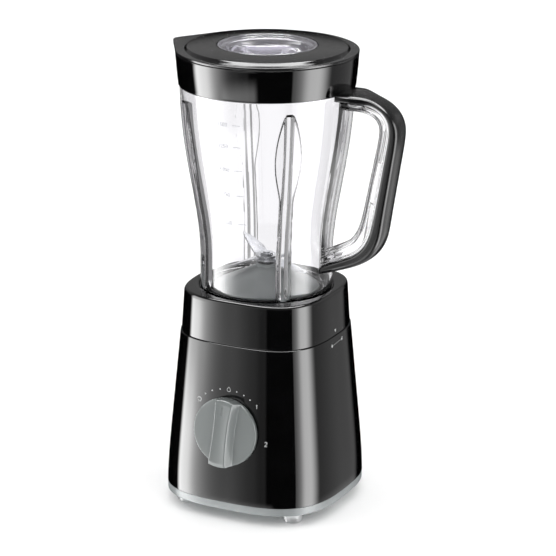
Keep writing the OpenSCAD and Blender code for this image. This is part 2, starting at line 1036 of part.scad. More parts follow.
module jug() {
    inner_r = jug_waist_r - jug_wall;
    grip_w = 15;
    color(clear)
        difference() {
            union() {
                rotate_extrude()
                    polygon(concat(
                        [[neck_in_r, neck_low_z], [neck_r, neck_low_z], [neck_r, shoulder_z]],
                        [[jug_waist_r - 0.6, shoulder_z], [jug_waist_r, shoulder_z + 0.8]], flank(0),
                        [[band_seat_r, rim_z], [band_seat_r, jug_top_z], [mouth_r, jug_top_z]],
                        [[mouth_r, rim_z - 1]], reversed([for (p = flank(jug_wall)) if (p[1] < rim_z - 2) p]),
                        [[inner_r, shoulder_z + 3], [neck_in_r, shoulder_z]]
                    ));
                jug_ribs();
                difference() {
                    handle_slice(handle_split, handle_inner, 68, grip_w);
                    rotate_extrude()
                        polygon(concat(
                            [[0, shoulder_z]], [[inner_r + 1, shoulder_z]], flank(jug_wall - 1),
                            [[band_seat_r - 1, rim_z], [band_seat_r - 1, jug_top_z], [0, jug_top_z]]
                        ));
                    tube(90, band_seat_r, rim_z, 400);
                }
            }
            translate([-90, -14, 368])
                cube([40, 28, 20]);
        }
}

// The band's spout: a beak that grows out of the ring towards -X
module spout_solid(inset, top_z) {
    tip_r = 7 - inset;
    hull() {
        translate([-spout_reach + 7, 0, top_z - 5])
            cylinder(r = tip_r, h = 5, $fn = hull_fn);
        translate([-68, -12 + inset, band_low_z + 3])
            cube([2, 24 - 2 * inset, 1]);
        for (side = [-1, 1])
            translate([-60, side * (36 - inset), top_z - 5])
                cylinder(r = 3, h = 5, $fn = hull_fn);
    }
}

module rim_band() {
    bottom_r = 72;
    color(black) {
        difference() {
            union() {
                rotate_extrude()
                    polygon([
                        [band_seat_r, band_low_z], [bottom_r - 0.3, band_low_z], [bottom_r, band_low_z + 0.3],
                        [flange_r - 0.3, band_top_z - 1], [flange_r - 0.6, band_top_z],
                        [mouth_r, band_top_z], [mouth_r, jug_top_z], [band_seat_r, jug_top_z]
                    ]);
                difference() {
                    spout_solid(0, band_top_z);
                    disc(band_seat_r, band_low_z - 1, band_top_z + 1);
                }
            }
            intersection() {
                translate([0, 0, 0.5])
                    spout_solid(2.5, band_top_z + 6);
                translate([-90, -14, 370])
                    cube([60, 28, 20]);
            }
        }
        difference() {
            handle_slice(handle_outer, handle_split, 68, handle_w);
            disc(band_seat_r + 0.5, 330, 400);
            rotate_extrude()
                polygon(concat(
                    [[0, 195], [jug_waist_r, 195]], flank(0), [[band_seat_r, rim_z], [0, rim_z]]
                ));
        }
    }
}

// ---------- lid ----------

// The lid's edge in plan follows the band and its spout
module lid_outline() {
    hull() {
        circle(r = flange_r);
        translate([-spout_reach + 7.3, 0])
            circle(r = 7, $fn = hull_fn);
    }
}

module lid() {
    deck_t = 2.5;
    plug_wall = 2.2;
    color(black)
        difference() {
            union() {
                translate([0, 0, flange_low_z])
                    linear_extrude(flange_top_z - flange_low_z)
                        lid_outline();
                rotate_extrude()
                    polygon([
                        [lid_hole_r, plug_low_z + 8], [lid_hole_r + 2, plug_low_z + 8],
                        [lid_hole_r + 2, flange_low_z],
                        [plug_r - plug_wall, flange_low_z], [plug_r - plug_wall, plug_low_z],
                        [plug_r, plug_low_z], [plug_r, 367], [plug_r - 1, 367], [plug_r - 1, 371],
                        [plug_r, 371], [plug_r, flange_low_z], [plug_r + 3, flange_low_z],
                        [plug_r + 3, flange_top_z], [dome_r, flange_top_z], [dome_r - 0.4, dome_edge_z - 0.6],
                        [dome_r - 2, dome_edge_z], [55, 386], [lid_hole_r + 1, dome_top_z],
                        [lid_hole_r, dome_top_z - 0.4]
                    ]);
            }
            disc(lid_hole_r, plug_low_z, dome_top_z + 5);
            tube(plug_r - plug_wall, lid_hole_r + 2, plug_low_z - 1, flange_top_z - deck_t + 1.5);
        }
}

module lid_seal() {
    color(rubber)
        tube(mouth_r - joint_gap, plug_r - 1, 367, 371);
}

module filler_cap() {
    cap_top_z = dome_top_z;
    skirt_r = 37.5;
    bowl_r = 33;
    bowl_floor_z = 372;
    cap_low_z = 350;
    skin = 2;
    color(clear) {
        rotate_extrude()
            polygon([
                [0, bowl_floor_z - skin], [bowl_r + 0.5, bowl_floor_z - skin], [bowl_r + 2, bowl_floor_z],
                [skirt_r - skin, bowl_floor_z - 4], [skirt_r - skin, cap_low_z],
                [skirt_r, cap_low_z], [skirt_r, cap_top_z - 5], [cap_r, cap_top_z - 3],
                [cap_r, cap_top_z - 1], [cap_r - 1, cap_top_z], [bowl_r + 1.5, cap_top_z],
                [bowl_r, cap_top_z - 2], [bowl_r - 1.5, bowl_floor_z], [0, bowl_floor_z]
            ]);
        intersection() {
            disc(bowl_r - 0.5, bowl_floor_z - 0.5, cap_top_z - 1);
            translate([-bowl_r, -3, bowl_floor_z - 0.5])
                cube([2 * bowl_r, 6, cap_top_z - 1 - bowl_floor_z]);
        }
    }
}

base_housing();
base_plate();
feet();
base_screws();
cord_gland();
motor_mounts();
motor_screws();
upper_bracket();
lower_bracket();
stator_core();
field_coils();
stator_bolts();
upper_bearing();
lower_bearing();
brush_holders();
carbon_brushes();
brush_springs();
selector_switch();
switch_nut();
interlock_switch();
terminal_block();
suppressor_capacitor();
speed_knob();
switch_shaft();
motor_shaft();
armature_core();
armature_windings();
commutator();
cooling_fan();
drive_coupling();
shaft_slinger();
interlock_ring();
interlock_plunger();
goblet_collar();
blade_holder();
blade_bush();
shaft_seal();
blade_shaft();
driven_coupling();
lower_blades();
upper_blades();
blade_washer();
blade_nut();
goblet_gasket();
jug();
rim_band();
lid();
lid_seal();
filler_cap();
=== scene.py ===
"""Countertop blender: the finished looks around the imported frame.

+Z is up, -Y the front with the dial, +X the handle side. Shapes are worked out in millimetres.
"""

import json
import math

import bmesh
import bpy
import numpy as np
from mathutils import Matrix, Vector


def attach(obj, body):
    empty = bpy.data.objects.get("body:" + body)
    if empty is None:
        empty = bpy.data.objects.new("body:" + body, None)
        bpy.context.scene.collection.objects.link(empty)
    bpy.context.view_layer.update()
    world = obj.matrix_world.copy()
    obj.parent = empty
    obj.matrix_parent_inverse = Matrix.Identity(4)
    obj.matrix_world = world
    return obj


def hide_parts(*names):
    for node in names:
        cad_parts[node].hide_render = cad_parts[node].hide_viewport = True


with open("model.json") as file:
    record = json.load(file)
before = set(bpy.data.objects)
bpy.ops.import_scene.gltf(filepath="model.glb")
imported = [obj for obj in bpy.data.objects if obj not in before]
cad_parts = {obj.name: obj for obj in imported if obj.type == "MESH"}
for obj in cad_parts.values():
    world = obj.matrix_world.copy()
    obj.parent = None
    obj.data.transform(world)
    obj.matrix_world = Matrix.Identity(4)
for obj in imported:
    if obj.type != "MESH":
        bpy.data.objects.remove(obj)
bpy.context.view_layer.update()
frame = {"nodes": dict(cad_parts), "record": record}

MM = 0.001
TURN = 2 * math.pi


# ---------- levels shared with the CAD, in millimetres ----------

SQUARE = 3.0
ROUND = 2.0
TRIM_LOW, TRIM_TOP = 10.0, 17.0
SEAM_Z = 149.2
COLLAR_LOW, COLLAR_TOP = 149.5, 185.6
DIAL_Z, DIAL_HALF, DIAL_LEAN = 78.0, 70.864, 5.0
KNOB_R, KNOB_FACE, KNOB_TOP = 28.5, 5.0, 13.5
SHOULDER_Z, WAIST_Z, RIM_Z, JUG_TOP = 183.9, 211.0, 353.0, 377.0
WAIST_R, RIM_R, JUG_WALL = 54.5, 70.9, 3.0
SEAT_R, MOUTH_R = 69.4, 66.8
BAND_LOW, BAND_TOP = 354.5, 380.9
FLANGE_LOW, FLANGE_TOP, FLANGE_R = 381.2, 383.4, 74.6
SPOUT_REACH, SPOUT_TIP_R = 86.0, 7.0
HOLE_R, DOME_TOP = 40.75, 386.7


# ---------- mesh building ----------


def angles(steps):
    return np.arange(steps) * TURN / steps


def angle_between(turn, other):
    return np.abs((turn - other + math.pi) % TURN - math.pi)


def superellipse(half, power, turn):
    """Radius, at each angle, of a rounded square of that half-width; power 2 is a circle."""
    return half / (np.abs(np.cos(turn)) ** power + np.abs(np.sin(turn)) ** power) ** (1 / power)


def lerp(a, b, share):
    return a + (b - a) * share


def smoothstep(low, high, value):
    share = np.clip((value - low) / (high - low), 0, 1)
    return share * share * (3 - 2 * share)


def bezier(points, steps):
    """Cubic curve through four control points, both ends included."""
    p = np.array(points, float)
    t = np.linspace(0, 1, steps + 1)[:, None]
    rest = 1 - t
    return rest**3 * p[0] + 3 * rest**2 * t * p[1] + 3 * rest * t**2 * p[2] + t**3 * p[3]


def rounded(corners, arc_steps, closed):
    """Points along corners of (half, z, reach, power); an arc of that reach rounds each corner."""
    corners = [np.array(corner, float) for corner in corners]
    count = len(corners)
    points = []
    for i, corner in enumerate(corners):
        reach = corner[2]
        inner = closed or 0 < i < count - 1
        if not inner or reach <= 0:
            points.append(corner[[0, 1, 3]])
            continue
        before, after = corners[i - 1], corners[(i + 1) % count]
        ends = []
        for other in (before, after):
            span = math.hypot(*(other[:2] - corner[:2]))
            share = min(reach, span * 0.48) / span
            ends.append(lerp(corner, other, share)[[0, 1, 3]])
        middle = corner[[0, 1, 3]]
        for t in np.linspace(0, 1, arc_steps + 1):
            points.append((1 - t) ** 2 * ends[0] + 2 * (1 - t) * t * middle + t**2 * ends[1])
    return np.array(points)


def round_rows(corners, arc_steps, closed=True):
    """Rows of (radius, z) along corners of (radius, z, reach)."""
    return rounded([(*corner, ROUND) for corner in corners], arc_steps, closed)[:, :2]


def ring(radius, z, turn):
    """Points at each angle; radius and height are numbers, or arrays with one row per ring."""
    return np.stack([radius * np.cos(turn), radius * np.sin(turn), z * np.ones(turn.shape)], -1)


def spread(rows, steps):
    """Radius and height arrays, with one row per (radius, z) and one column per angle."""
    return rows[:, :1] * np.ones(steps), rows[:, 1:] * np.ones(steps)


def profile_rings(profile, steps):
    """Rings of points for a profile of (half, z, power) rows."""
    turn = angles(steps)
    return np.array([ring(superellipse(half, power, turn), z, turn) for half, z, power in profile])


def loft(rings, closed):
    """Vertices and faces of a skin over the rings, joined end to end or capped at both ends."""
    rows, cols = rings.shape[:2]
    vertices = rings.reshape(-1, 3)
    i = np.arange(rows if closed else rows - 1)[:, None]
    j = np.arange(cols)[None, :]
    up, across = (i + 1) % rows, (j + 1) % cols
    quads = np.stack([i * cols + j, i * cols + across, up * cols + across, up * cols + j], -1)
    faces = quads.reshape(-1, 4).tolist()
    if not closed:
        ends = np.array([rings[0].mean(0), rings[-1].mean(0)])
        low, high = len(vertices), len(vertices) + 1
        vertices = np.concatenate([vertices, ends])
        last = (rows - 1) * cols
        faces += [[low, (k + 1) % cols, k] for k in range(cols)]
        faces += [[high, last + k, last + (k + 1) % cols] for k in range(cols)]
    return vertices, faces


def scene_object(name, data):
    obj = bpy.data.objects.new(name, data)
    bpy.context.scene.collection.objects.link(obj)
    return obj


def new_object(name, vertices, faces, place=None):
    mesh = bpy.data.meshes.new(name)
    mesh.from_pydata((np.array(vertices) * MM).tolist(), [], faces)
    if place is not None:
        mesh.transform(place)
    obj = scene_object(name, mesh)
    orient(obj)
    return obj


def orient(obj):
    work = bmesh.new()
    work.from_mesh(obj.data)
    bmesh.ops.recalc_face_normals(work, faces=work.faces)
    work.to_mesh(obj.data)
    work.free()


def lathe(name, corners, steps, closed=True):
    """A turned piece from corners of (radius, z, reach)."""
    return squared_piece(name, [(*corner, ROUND) for corner in corners], steps, closed=closed)


def squared_piece(name, corners, steps, arc_steps=6, closed=True):
    """A piece from corners of (half, z, reach, power): a rounded square at each level."""
    profile = rounded(corners, arc_steps, closed)
    return new_object(name, *loft(profile_rings(profile, steps), closed))


def disc_tool(name, radius, low, high, place=None, steps=48):
    rings = profile_rings([(radius, low, ROUND), (radius, high, ROUND)], steps)
    return new_object(name, *loft(rings, False), place)


def shift(x, y, z=0.0):
    return Matrix.Translation((x * MM, y * MM, z * MM))


def block_tool(name, low, high, place=None):
    x, y, z = zip(low, high)
    corners = [(x[0], y[0]), (x[1], y[0]), (x[1], y[1]), (x[0], y[1])]
    rings = np.array([[(cx, cy, level) for cx, cy in corners] for level in z])
    return new_object(name, *loft(rings, False), place)


def combine(target, tool, operation):
    """Joins or cuts the target with the tool, which is used up."""
    change = target.modifiers.new("combine", "BOOLEAN")
    change.object = tool
    change.operation = operation
    change.solver = "MANIFOLD"
    apply_modifiers(target)
    bpy.data.objects.remove(tool)


def cut(target, tool):
    combine(target, tool, "DIFFERENCE")


def add(target, tool):
    combine(target, tool, "UNION")


def evaluated_mesh(obj):
    bpy.context.view_layer.update()
    depsgraph = bpy.context.evaluated_depsgraph_get()
    return bpy.data.meshes.new_from_object(obj.evaluated_get(depsgraph))


def apply_modifiers(obj):
    shaped = evaluated_mesh(obj)
    old = obj.data
    obj.modifiers.clear()
    obj.data = shaped
    shaped.name = obj.name
    bpy.data.meshes.remove(old)


def join_into(target, others):
    """One mesh from several that don't overlap."""
    work = bmesh.new()
    for obj in [target, *others]:
        work.from_mesh(obj.data)
    work.to_mesh(target.data)
    work.free()
    for obj in others:
        bpy.data.objects.remove(obj)


def smooth(obj, crease):
    mesh = obj.data
    mesh.polygons.foreach_set("use_smooth", np.ones(len(mesh.polygons), bool))
    mesh.set_sharp_from_angle(angle=math.radians(crease))


def finish_piece(obj, body, slot, replaced=(), material=None, crease=32):
    smooth(obj, crease)
    obj.data.materials.clear()
    obj.data.materials.append(material or MATERIALS[slot])
    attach(obj, body)
    if replaced:
        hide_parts(*replaced)


# ---------- materials ----------


class Nodes:
    """A node tree with short ways to add to it."""

    def __init__(self, tree):
        self.tree = tree

    def node(self, kind, **settings):
        made = self.tree.nodes.new("ShaderNode" + kind)
        for key, value in settings.items():
            setattr(made, key, value)
        return made

    def link(self, source, target):
        self.tree.links.new(source, target)

    def feed(self, sockets, values):
        """Sets each socket to its number, or links it to its output."""
        for socket, value in zip(sockets, values):
            if isinstance(value, (int, float)):
                socket.default_value = value
            else:
                self.link(value, socket)

    def mapped(self, value, low, high, to_low, to_high):
        made = self.node("MapRange", interpolation_type="SMOOTHSTEP")
        made.inputs["From Min"].default_value = low
        made.inputs["From Max"].default_value = high
        made.inputs["To Min"].default_value = to_low
        made.inputs["To Max"].default_value = to_high
        self.link(value, made.inputs["Value"])
        return made.outputs["Result"]


class Surface(Nodes):
    """A principled material with layers of procedural detail, all in object coordinates."""

    def __init__(self, name, color, roughness, **inputs):
        self.material = bpy.data.materials.new(name)
        self.material.use_nodes = True
        super().__init__(self.material.node_tree)
        self.shader = self.tree.nodes["Principled BSDF"]
        self.shader.inputs["Base Color"].default_value = (*color, 1)
        self.shader.inputs["Roughness"].default_value = roughness
        self.color = color
        self.roughness = roughness
        for socket, value in inputs.items():
            self.shader.inputs[socket.replace("_", " ")].default_value = value
        self.where = self.node("TexCoord").outputs["Object"]
        self.normal = None

    def noise(self, scale, stretch=(1, 1, 1), detail=3.0, roughness=0.55):
        mapping = self.node("Mapping")
        mapping.inputs["Scale"].default_value = stretch
        texture = self.node("TexNoise")
        texture.inputs["Scale"].default_value = scale
        texture.inputs["Detail"].default_value = detail
        texture.inputs["Roughness"].default_value = roughness
        self.link(self.where, mapping.inputs["Vector"])
        self.link(mapping.outputs["Vector"], texture.inputs["Vector"])
        return texture.outputs["Fac"]

    def layers(self, scale, distortion=0.0):
        """Level bands, one above the other."""
        texture = self.node("TexWave", wave_type="BANDS", bands_direction="Z")
        texture.inputs["Scale"].default_value = scale
        texture.inputs["Distortion"].default_value = distortion
        self.link(self.where, texture.inputs["Vector"])
        return texture.outputs["Fac"]

    def cells(self, scale):
        texture = self.node("TexVoronoi", feature="F1")
        texture.inputs["Scale"].default_value = scale
        self.link(self.where, texture.inputs["Vector"])
        return texture.outputs["Distance"]

    def bump(self, height, strength, distance):
        made = self.node("Bump")
        made.inputs["Strength"].default_value = strength
        made.inputs["Distance"].default_value = distance
        self.link(height, made.inputs["Height"])
        if self.normal is not None:
            self.link(self.normal, made.inputs["Normal"])
        self.normal = made.outputs["Normal"]
        self.link(self.normal, self.shader.inputs["Normal"])

    def vary_roughness(self, value, low, high, change):
        amount = self.mapped(value, low, high, self.roughness, self.roughness + change)
        self.link(amount, self.shader.inputs["Roughness"])

    def vary_color(self, value, low, high, other):
        made = self.node("Mix", data_type="RGBA")
        colors = [socket for socket in made.inputs if socket.type == "RGBA"]
        colors[0].default_value = (*self.color, 1)
        colors[1].default_value = (*other, 1)
        self.link(self.mapped(value, low, high, 0, 1), made.inputs["Factor"])
        mixed = [socket for socket in made.outputs if socket.type == "RGBA"][0]
        self.link(mixed, self.shader.inputs["Base Color"])

    # The three layers above, each driven by a noise of its own

    def bumps(self, scale, strength, distance, **look):
        self.bump(self.noise(scale, **look), strength, distance)

    def wear(self, scale, low, high, change, **look):
        self.vary_roughness(self.noise(scale, **look), low, high, change)

    def mottle(self, scale, low, high, other, **look):
        self.vary_color(self.noise(scale, **look), low, high, other)


def moulded(name, color, roughness, grain=0.25, flow=0.12, tone=1.18, wear=0.35):
    """Moulded plastic: fine grain, faint flow waviness, slight handling marks."""
    made = Surface(name, color, roughness)
    made.bumps(2600, grain, 0.00003, detail=2)
    made.bumps(90, flow, 0.00008)
    made.wear(160, 0.35, 0.75, roughness * wear, detail=5)
    lighter = tuple(min(1, c * tone) for c in color)
    made.mottle(35, 0.3, 0.8, lighter, detail=4)
    return made.material


def turned(name, color, roughness):
    """Turned or drawn metal: fine rings round Z and small tonal changes."""
    made = Surface(name, color, roughness, Metallic=1.0)
    made.bumps(350, 0.25, 0.00004, stretch=(1, 1, 14), detail=4)
    made.wear(220, 0.3, 0.7, 0.12, detail=4)
    made.mottle(60, 0.3, 0.8, tuple(c * 0.82 for c in color))
    return made.material


def gloss_black():
    made = Surface("black_gloss", (0.0014, 0.0014, 0.0015), 0.035, IOR=1.5)
    made.bumps(28, 0.05, 0.0004, detail=1)
    made.bumps(420, 0.03, 0.00003, detail=2)
    made.wear(700, 0.58, 0.8, 0.07, stretch=(1, 1, 0.06), detail=5, roughness=0.7)
    made.mottle(45, 0.35, 0.8, (0.0022, 0.0022, 0.0024), detail=4)
    return made.material


def satin_black():
    made = Surface("black_satin", (0.006, 0.006, 0.0062), 0.07, IOR=1.5)
    made.bump(made.cells(2300), 0.08, 0.00003)
    made.bumps(60, 0.04, 0.0002, detail=2)
    made.wear(190, 0.35, 0.75, 0.1, detail=5)
    made.mottle(70, 0.3, 0.8, (0.009, 0.009, 0.0095), detail=4)
    return made.material


def handle_black():
    made = Surface("handle_black", (0.003, 0.003, 0.0032), 0.2, IOR=1.43)
    made.bumps(420, 0.03, 0.00003, detail=2)
    made.wear(600, 0.5, 0.8, 0.06, stretch=(1, 1, 0.08), detail=5, roughness=0.7)
    made.mottle(60, 0.3, 0.8, (0.005, 0.005, 0.0053), detail=4)
    return made.material


def clear_plastic(name, tint, roughness=0.004, clarity=1.0):
    made = Surface(name, tint, roughness, IOR=1.55, Transmission_Weight=clarity)
    made.bumps(34, 0.04, 0.0003, detail=1)
    made.wear(520, 0.6, 0.85, 0.05, stretch=(1, 1, 0.1), detail=5, roughness=0.7)
    return made.material


def frosted(name, tint, roughness):
    made = Surface(name, tint, roughness, IOR=1.48, Transmission_Weight=0.7)
    made.bumps(900, 0.1, 0.00004, detail=3)
    made.mottle(120, 0.3, 0.8, tuple(c * 0.9 for c in tint))
    return made.material


def rubber(name, color):
    made = Surface(name, color, 0.62, IOR=1.45)
    made.bumps(1500, 0.4, 0.00006, detail=4)
    made.wear(150, 0.3, 0.8, 0.15, detail=4)
    made.mottle(80, 0.3, 0.8, tuple(c * 1.5 for c in color), detail=4)
    return made.material


def ground_steel():
    made = Surface("blade_steel", (0.74, 0.75, 0.77), 0.16, Metallic=1.0)
    made.bumps(900, 0.35, 0.00003, stretch=(0.08, 1, 1), detail=5)
    made.wear(300, 0.3, 0.75, 0.14, stretch=(0.2, 1, 1), detail=4)
    made.mottle(90, 0.3, 0.8, (0.62, 0.63, 0.66))
    return made.material


def laminations():
    made = Surface("lamination_steel", (0.26, 0.27, 0.29), 0.42, Metallic=0.9)
    sheets = made.layers(620)
    made.bump(sheets, 0.7, 0.00012)
    made.vary_color(sheets, 0.1, 0.9, (0.42, 0.42, 0.43))
    made.wear(200, 0.3, 0.8, 0.15, detail=4)
    return made.material


def windings():
    made = Surface("winding_copper", (0.55, 0.22, 0.08), 0.3, Metallic=0.85, Coat_Weight=0.6)
    strands = made.layers(420, 1.2)
    made.bump(strands, 0.9, 0.0003)
    made.vary_color(strands, 0.2, 0.9, (0.78, 0.4, 0.18))
    made.wear(300, 0.3, 0.8, 0.12)
    return made.material


def cast_metal():
    made = Surface("cast_aluminium", (0.6, 0.61, 0.62), 0.45, Metallic=0.9)
    made.bumps(700, 0.5, 0.0001, detail=5)
    made.wear(120, 0.3, 0.8, 0.15, detail=4)
    made.mottle(70, 0.3, 0.8, (0.48, 0.49, 0.5), detail=5)
    return made.material


def print_ink(name, color):
    made = Surface(name, color, 0.5)
    made.bumps(3000, 0.3, 0.00002, detail=2)
    made.mottle(900, 0.3, 0.8, tuple(c * 0.88 for c in color), detail=3)
    return made.material


MATERIALS = {
    "black_gloss": gloss_black(),
    "trim_silver": moulded("trim_silver", (0.215, 0.23, 0.232), 0.3, 0.2, 0.05),
    "clear_plastic": clear_plastic("clear_plastic", (0.986, 0.982, 0.996)),
    "foot_clear": frosted("foot_clear", (0.8, 0.81, 0.82), 0.3),
    # Painted light: grey_plastic is a lighter copy of the knob's grey. It stands in for the light
    # that the jug's glass keeps from the blade holder inside it.
    "grey_plastic": moulded("grey_plastic", (0.36, 0.385, 0.38), 0.3, 0.15, 0.05),
    "black_plastic": moulded("black_plastic", (0.03, 0.03, 0.031), 0.45, 0.5),
    "nylon": moulded("nylon", (0.7, 0.68, 0.62), 0.4, 0.3),
    "rubber_black": rubber("rubber_black", (0.022, 0.022, 0.023)),
    "blade_steel": ground_steel(),
    "shaft_steel": turned("shaft_steel", (0.62, 0.63, 0.65), 0.22),
    "screw_steel": turned("screw_steel", (0.55, 0.55, 0.56), 0.34),
    "lamination_steel": laminations(),
    "cast_aluminium": cast_metal(),
    "winding_copper": windings(),
    "bush_bronze": turned("bush_bronze", (0.62, 0.42, 0.18), 0.3),
    "carbon": rubber("carbon", (0.03, 0.03, 0.032)),
    "capacitor_yellow": moulded("capacitor_yellow", (0.72, 0.5, 0.06), 0.3),
}
SATIN_BLACK = satin_black()
HANDLE_BLACK = handle_black()
# The knob's own grey. The grey_plastic slot above is the same plastic with painted light.
KNOB_GREY = moulded("knob_grey", (0.145, 0.158, 0.156), 0.22, 0.04, 0.004, 1.04, 0.06)
# Painted light: the cap's diffuse share (clarity 0.86) lays pale lilac light over the clear
# plastic. It stands in for the light that its thick walls carry up from the jug, in place of the
# dark lid wall behind.
CAP_CLEAR_PAINTED_LIGHT = clear_plastic("cap_clear_painted_light", (0.93, 0.915, 0.975), 0.006, 0.86)
INK_WHITE = print_ink("ink_white", (0.5, 0.51, 0.51))
INK_GREY = print_ink("ink_grey", (0.42, 0.43, 0.46))


# ---------- camera ----------

AZIMUTH, ELEVATION, ROLL = math.radians(26.43), math.radians(17.40), math.radians(0.33)
CAMERA_AT = Vector((0.92398, -1.83735, 0.83382))
LENS, SENSOR, FARTHEST = 168.67, 36, 60


def build_camera():
    level = math.cos(ELEVATION)
    back = Vector((math.sin(AZIMUTH) * level, -math.cos(AZIMUTH) * level, math.sin(ELEVATION)))
    right = Vector((math.cos(AZIMUTH), math.sin(AZIMUTH), 0))
    up = back.cross(right)
    data = bpy.data.cameras.new("camera")
    data.lens = LENS
    data.sensor_width = SENSOR
    data.clip_end = FARTHEST
    camera = scene_object("camera", data)
    place = Matrix((right, up, back)).transposed().to_4x4() @ Matrix.Rotation(ROLL, 4, "Z")
    place.translation = CAMERA_AT
    camera.matrix_world = place
    bpy.context.scene.camera = camera


# ---------- power unit ----------

HOUSING_SIDE = [
    (75.0, TRIM_TOP, 0.35, SQUARE), (74.4, 34.0, 12.0, SQUARE),
    (72.8, 56.0, 14.0, SQUARE), (64.6, SEAM_Z, 0.7, SQUARE),
]
HOUSING_WALL = 2.5
TURRET_R, TURRET_TOP, TURRET_ROOF = 49.0, 160.0, 3.0
SPIGOT_R, SPIGOT_IN_R, SPIGOT_LIP_R = 36.0, 32.0, 37.2
SPIGOT_LIP_LOW, SPIGOT_TOP = 165.05, 166.4
SHAFT_HOLE_R, DECK_LOW = 10.0, 145.4
DIAL_HOLE_R, PLUNGER_HOLE_R, PLUNGER_X = 3.05, 2.05, -42
INLET_R, INLET_X, INLET_Z = 6.0, -15, 26
side_rows = rounded(HOUSING_SIDE, 10, closed=False)


def housing_half(z):
    return np.interp(z, side_rows[:, 1], side_rows[:, 0])


def housing_y(x, z):
    """How far out the front face is at x and z."""
    half = housing_half(z)
    return half * (1 - np.abs(x / half) ** SQUARE) ** (1 / SQUARE)


# The dial's own frame: X to the right, Y up the leaning face, Z out of it
dial_tilt = Matrix.Rotation(math.radians(90 - DIAL_LEAN), 4, "X")
dial_place = shift(0, -DIAL_HALF, DIAL_Z) @ dial_tilt


def build_housing():
    inside = [(half - HOUSING_WALL, z, reach, SQUARE) for half, z, reach, _ in HOUSING_SIDE]
    corners = [
        *HOUSING_SIDE,
        (50.5, SEAM_Z, 1.0, ROUND), (TURRET_R, 150.6, 1.0, ROUND),
        (TURRET_R, TURRET_TOP, 0.6, ROUND), (SPIGOT_R, TURRET_TOP, 0.2, ROUND),
        (SPIGOT_R, SPIGOT_LIP_LOW, 0.1, ROUND), (SPIGOT_LIP_R, SPIGOT_LIP_LOW, 0.1, ROUND),
        (SPIGOT_LIP_R, SPIGOT_TOP, 0.4, ROUND), (SPIGOT_IN_R, SPIGOT_TOP, 0.4, ROUND),
        (SPIGOT_IN_R, TURRET_TOP, 0.6, ROUND), (SHAFT_HOLE_R, TURRET_TOP, 0.5, ROUND),
        (SHAFT_HOLE_R, TURRET_TOP - TURRET_ROOF, 0.3, ROUND),
        (TURRET_R - 3, TURRET_TOP - TURRET_ROOF, 1.0, ROUND),
        (TURRET_R - 3, DECK_LOW, 1.0, ROUND), (62.4, DECK_LOW, 1.0, SQUARE),
        inside[2], inside[1], (inside[0][0], TRIM_TOP, 0.2, SQUARE),
    ]
    shell = squared_piece("housing_shell", corners, 288, 8)
    cut(shell, disc_tool("shaft_hole", DIAL_HOLE_R, -8, 8, dial_place))
    inlet = shift(INLET_X, 55, INLET_Z) @ Matrix.Rotation(-math.pi / 2, 4, "X")
    cut(shell, disc_tool("inlet_hole", INLET_R, 0, 40, inlet))
    cut(shell, disc_tool("plunger_hole", PLUNGER_HOLE_R, 150, 165, shift(PLUNGER_X, 0)))
    finish_piece(shell, "power_unit", "black_gloss", ["base_housing"])


FOOT_PLACES = [(x, y) for x in (-49, 49) for y in (-47.5, 47.5)]
FOOT_R, STEM_R = 8.5, 4.0
TRAY_R, TRAY_LOW, TRAY_TOP = 74.8, 11.0, 13.5
SCREW_REACH = 68.2
VENT_PITCH = 7


def build_tray():
    corners = [
        (0.5, TRAY_LOW, 0.0, SQUARE), (TRAY_R - 3, TRAY_LOW, 0.3, SQUARE),
        (TRAY_R - 3, TRIM_LOW, 0.3, SQUARE), (TRAY_R, TRIM_LOW, 1.2, SQUARE),
        (TRAY_R, TRIM_TOP - 0.15, 0.3, SQUARE), (TRAY_R - 2, TRIM_TOP - 0.15, 0.3, SQUARE),
        (TRAY_R - 2, TRAY_TOP, 0.4, SQUARE), (0.5, TRAY_TOP, 0.0, SQUARE),
    ]
    tray = squared_piece("trim_tray", corners, 288, closed=False)
    for x, y in FOOT_PLACES:
        add(tray, disc_tool("pad", FOOT_R + 2, TRIM_LOW, 12, shift(x, y)))
        cut(tray, disc_tool("stem_hole", STEM_R + 0.05, 5, 20, shift(x, y), 32))
    for x, y in ((SCREW_REACH, 0), (0, SCREW_REACH), (-SCREW_REACH, 0), (0, -SCREW_REACH)):
        cut(tray, disc_tool("screw_hole", 2.0, 5, 20, shift(x, y), 24))
    for row in (-1, 1):
        for i in range(-2, 3):
            low = (i * VENT_PITCH - 1.5, row * 18 - 11, 5)
            high = (i * VENT_PITCH + 1.5, row * 18 + 11, 20)
            cut(tray, block_tool("vent", low, high))
    finish_piece(tray, "power_unit", "trim_silver", ["base_plate"])


def build_feet():
    feet = []
    for x, y in FOOT_PLACES:
        corners = [
            (0.4, 1.0, 0.0), (4.6, 1.0, 0.8), (5.4, 0.0, 0.5), (7.3, 0.0, 1.0),
            (FOOT_R, 2.4, 1.6), (FOOT_R, TRIM_LOW, 0.8), (STEM_R, TRIM_LOW, 0.2),
            (STEM_R, TRAY_TOP + 1.5, 0.6), (0.4, TRAY_TOP + 1.5, 0.0),
        ]
        foot = lathe("foot_pads", corners, 72, closed=False)
        foot.data.transform(shift(x, y))
        feet.append(foot)
    join_into(feet[0], feet[1:])
    finish_piece(feet[0], "power_unit", "foot_clear", ["feet"])


KNOB_REST = math.radians(-5)
SLOT_MIDDLE, SLOT_HALF = 20.0, 3.0
WALL_LEAN = 67.0
wall_steps = np.linspace(0, 6, 121)
wall_slope = np.tan(
    np.radians(WALL_LEAN) * smoothstep(0, 1.5, wall_steps) * smoothstep(4.7, 4.0, wall_steps)
)
wall_fall = np.cumsum(wall_slope) / np.sum(wall_slope)


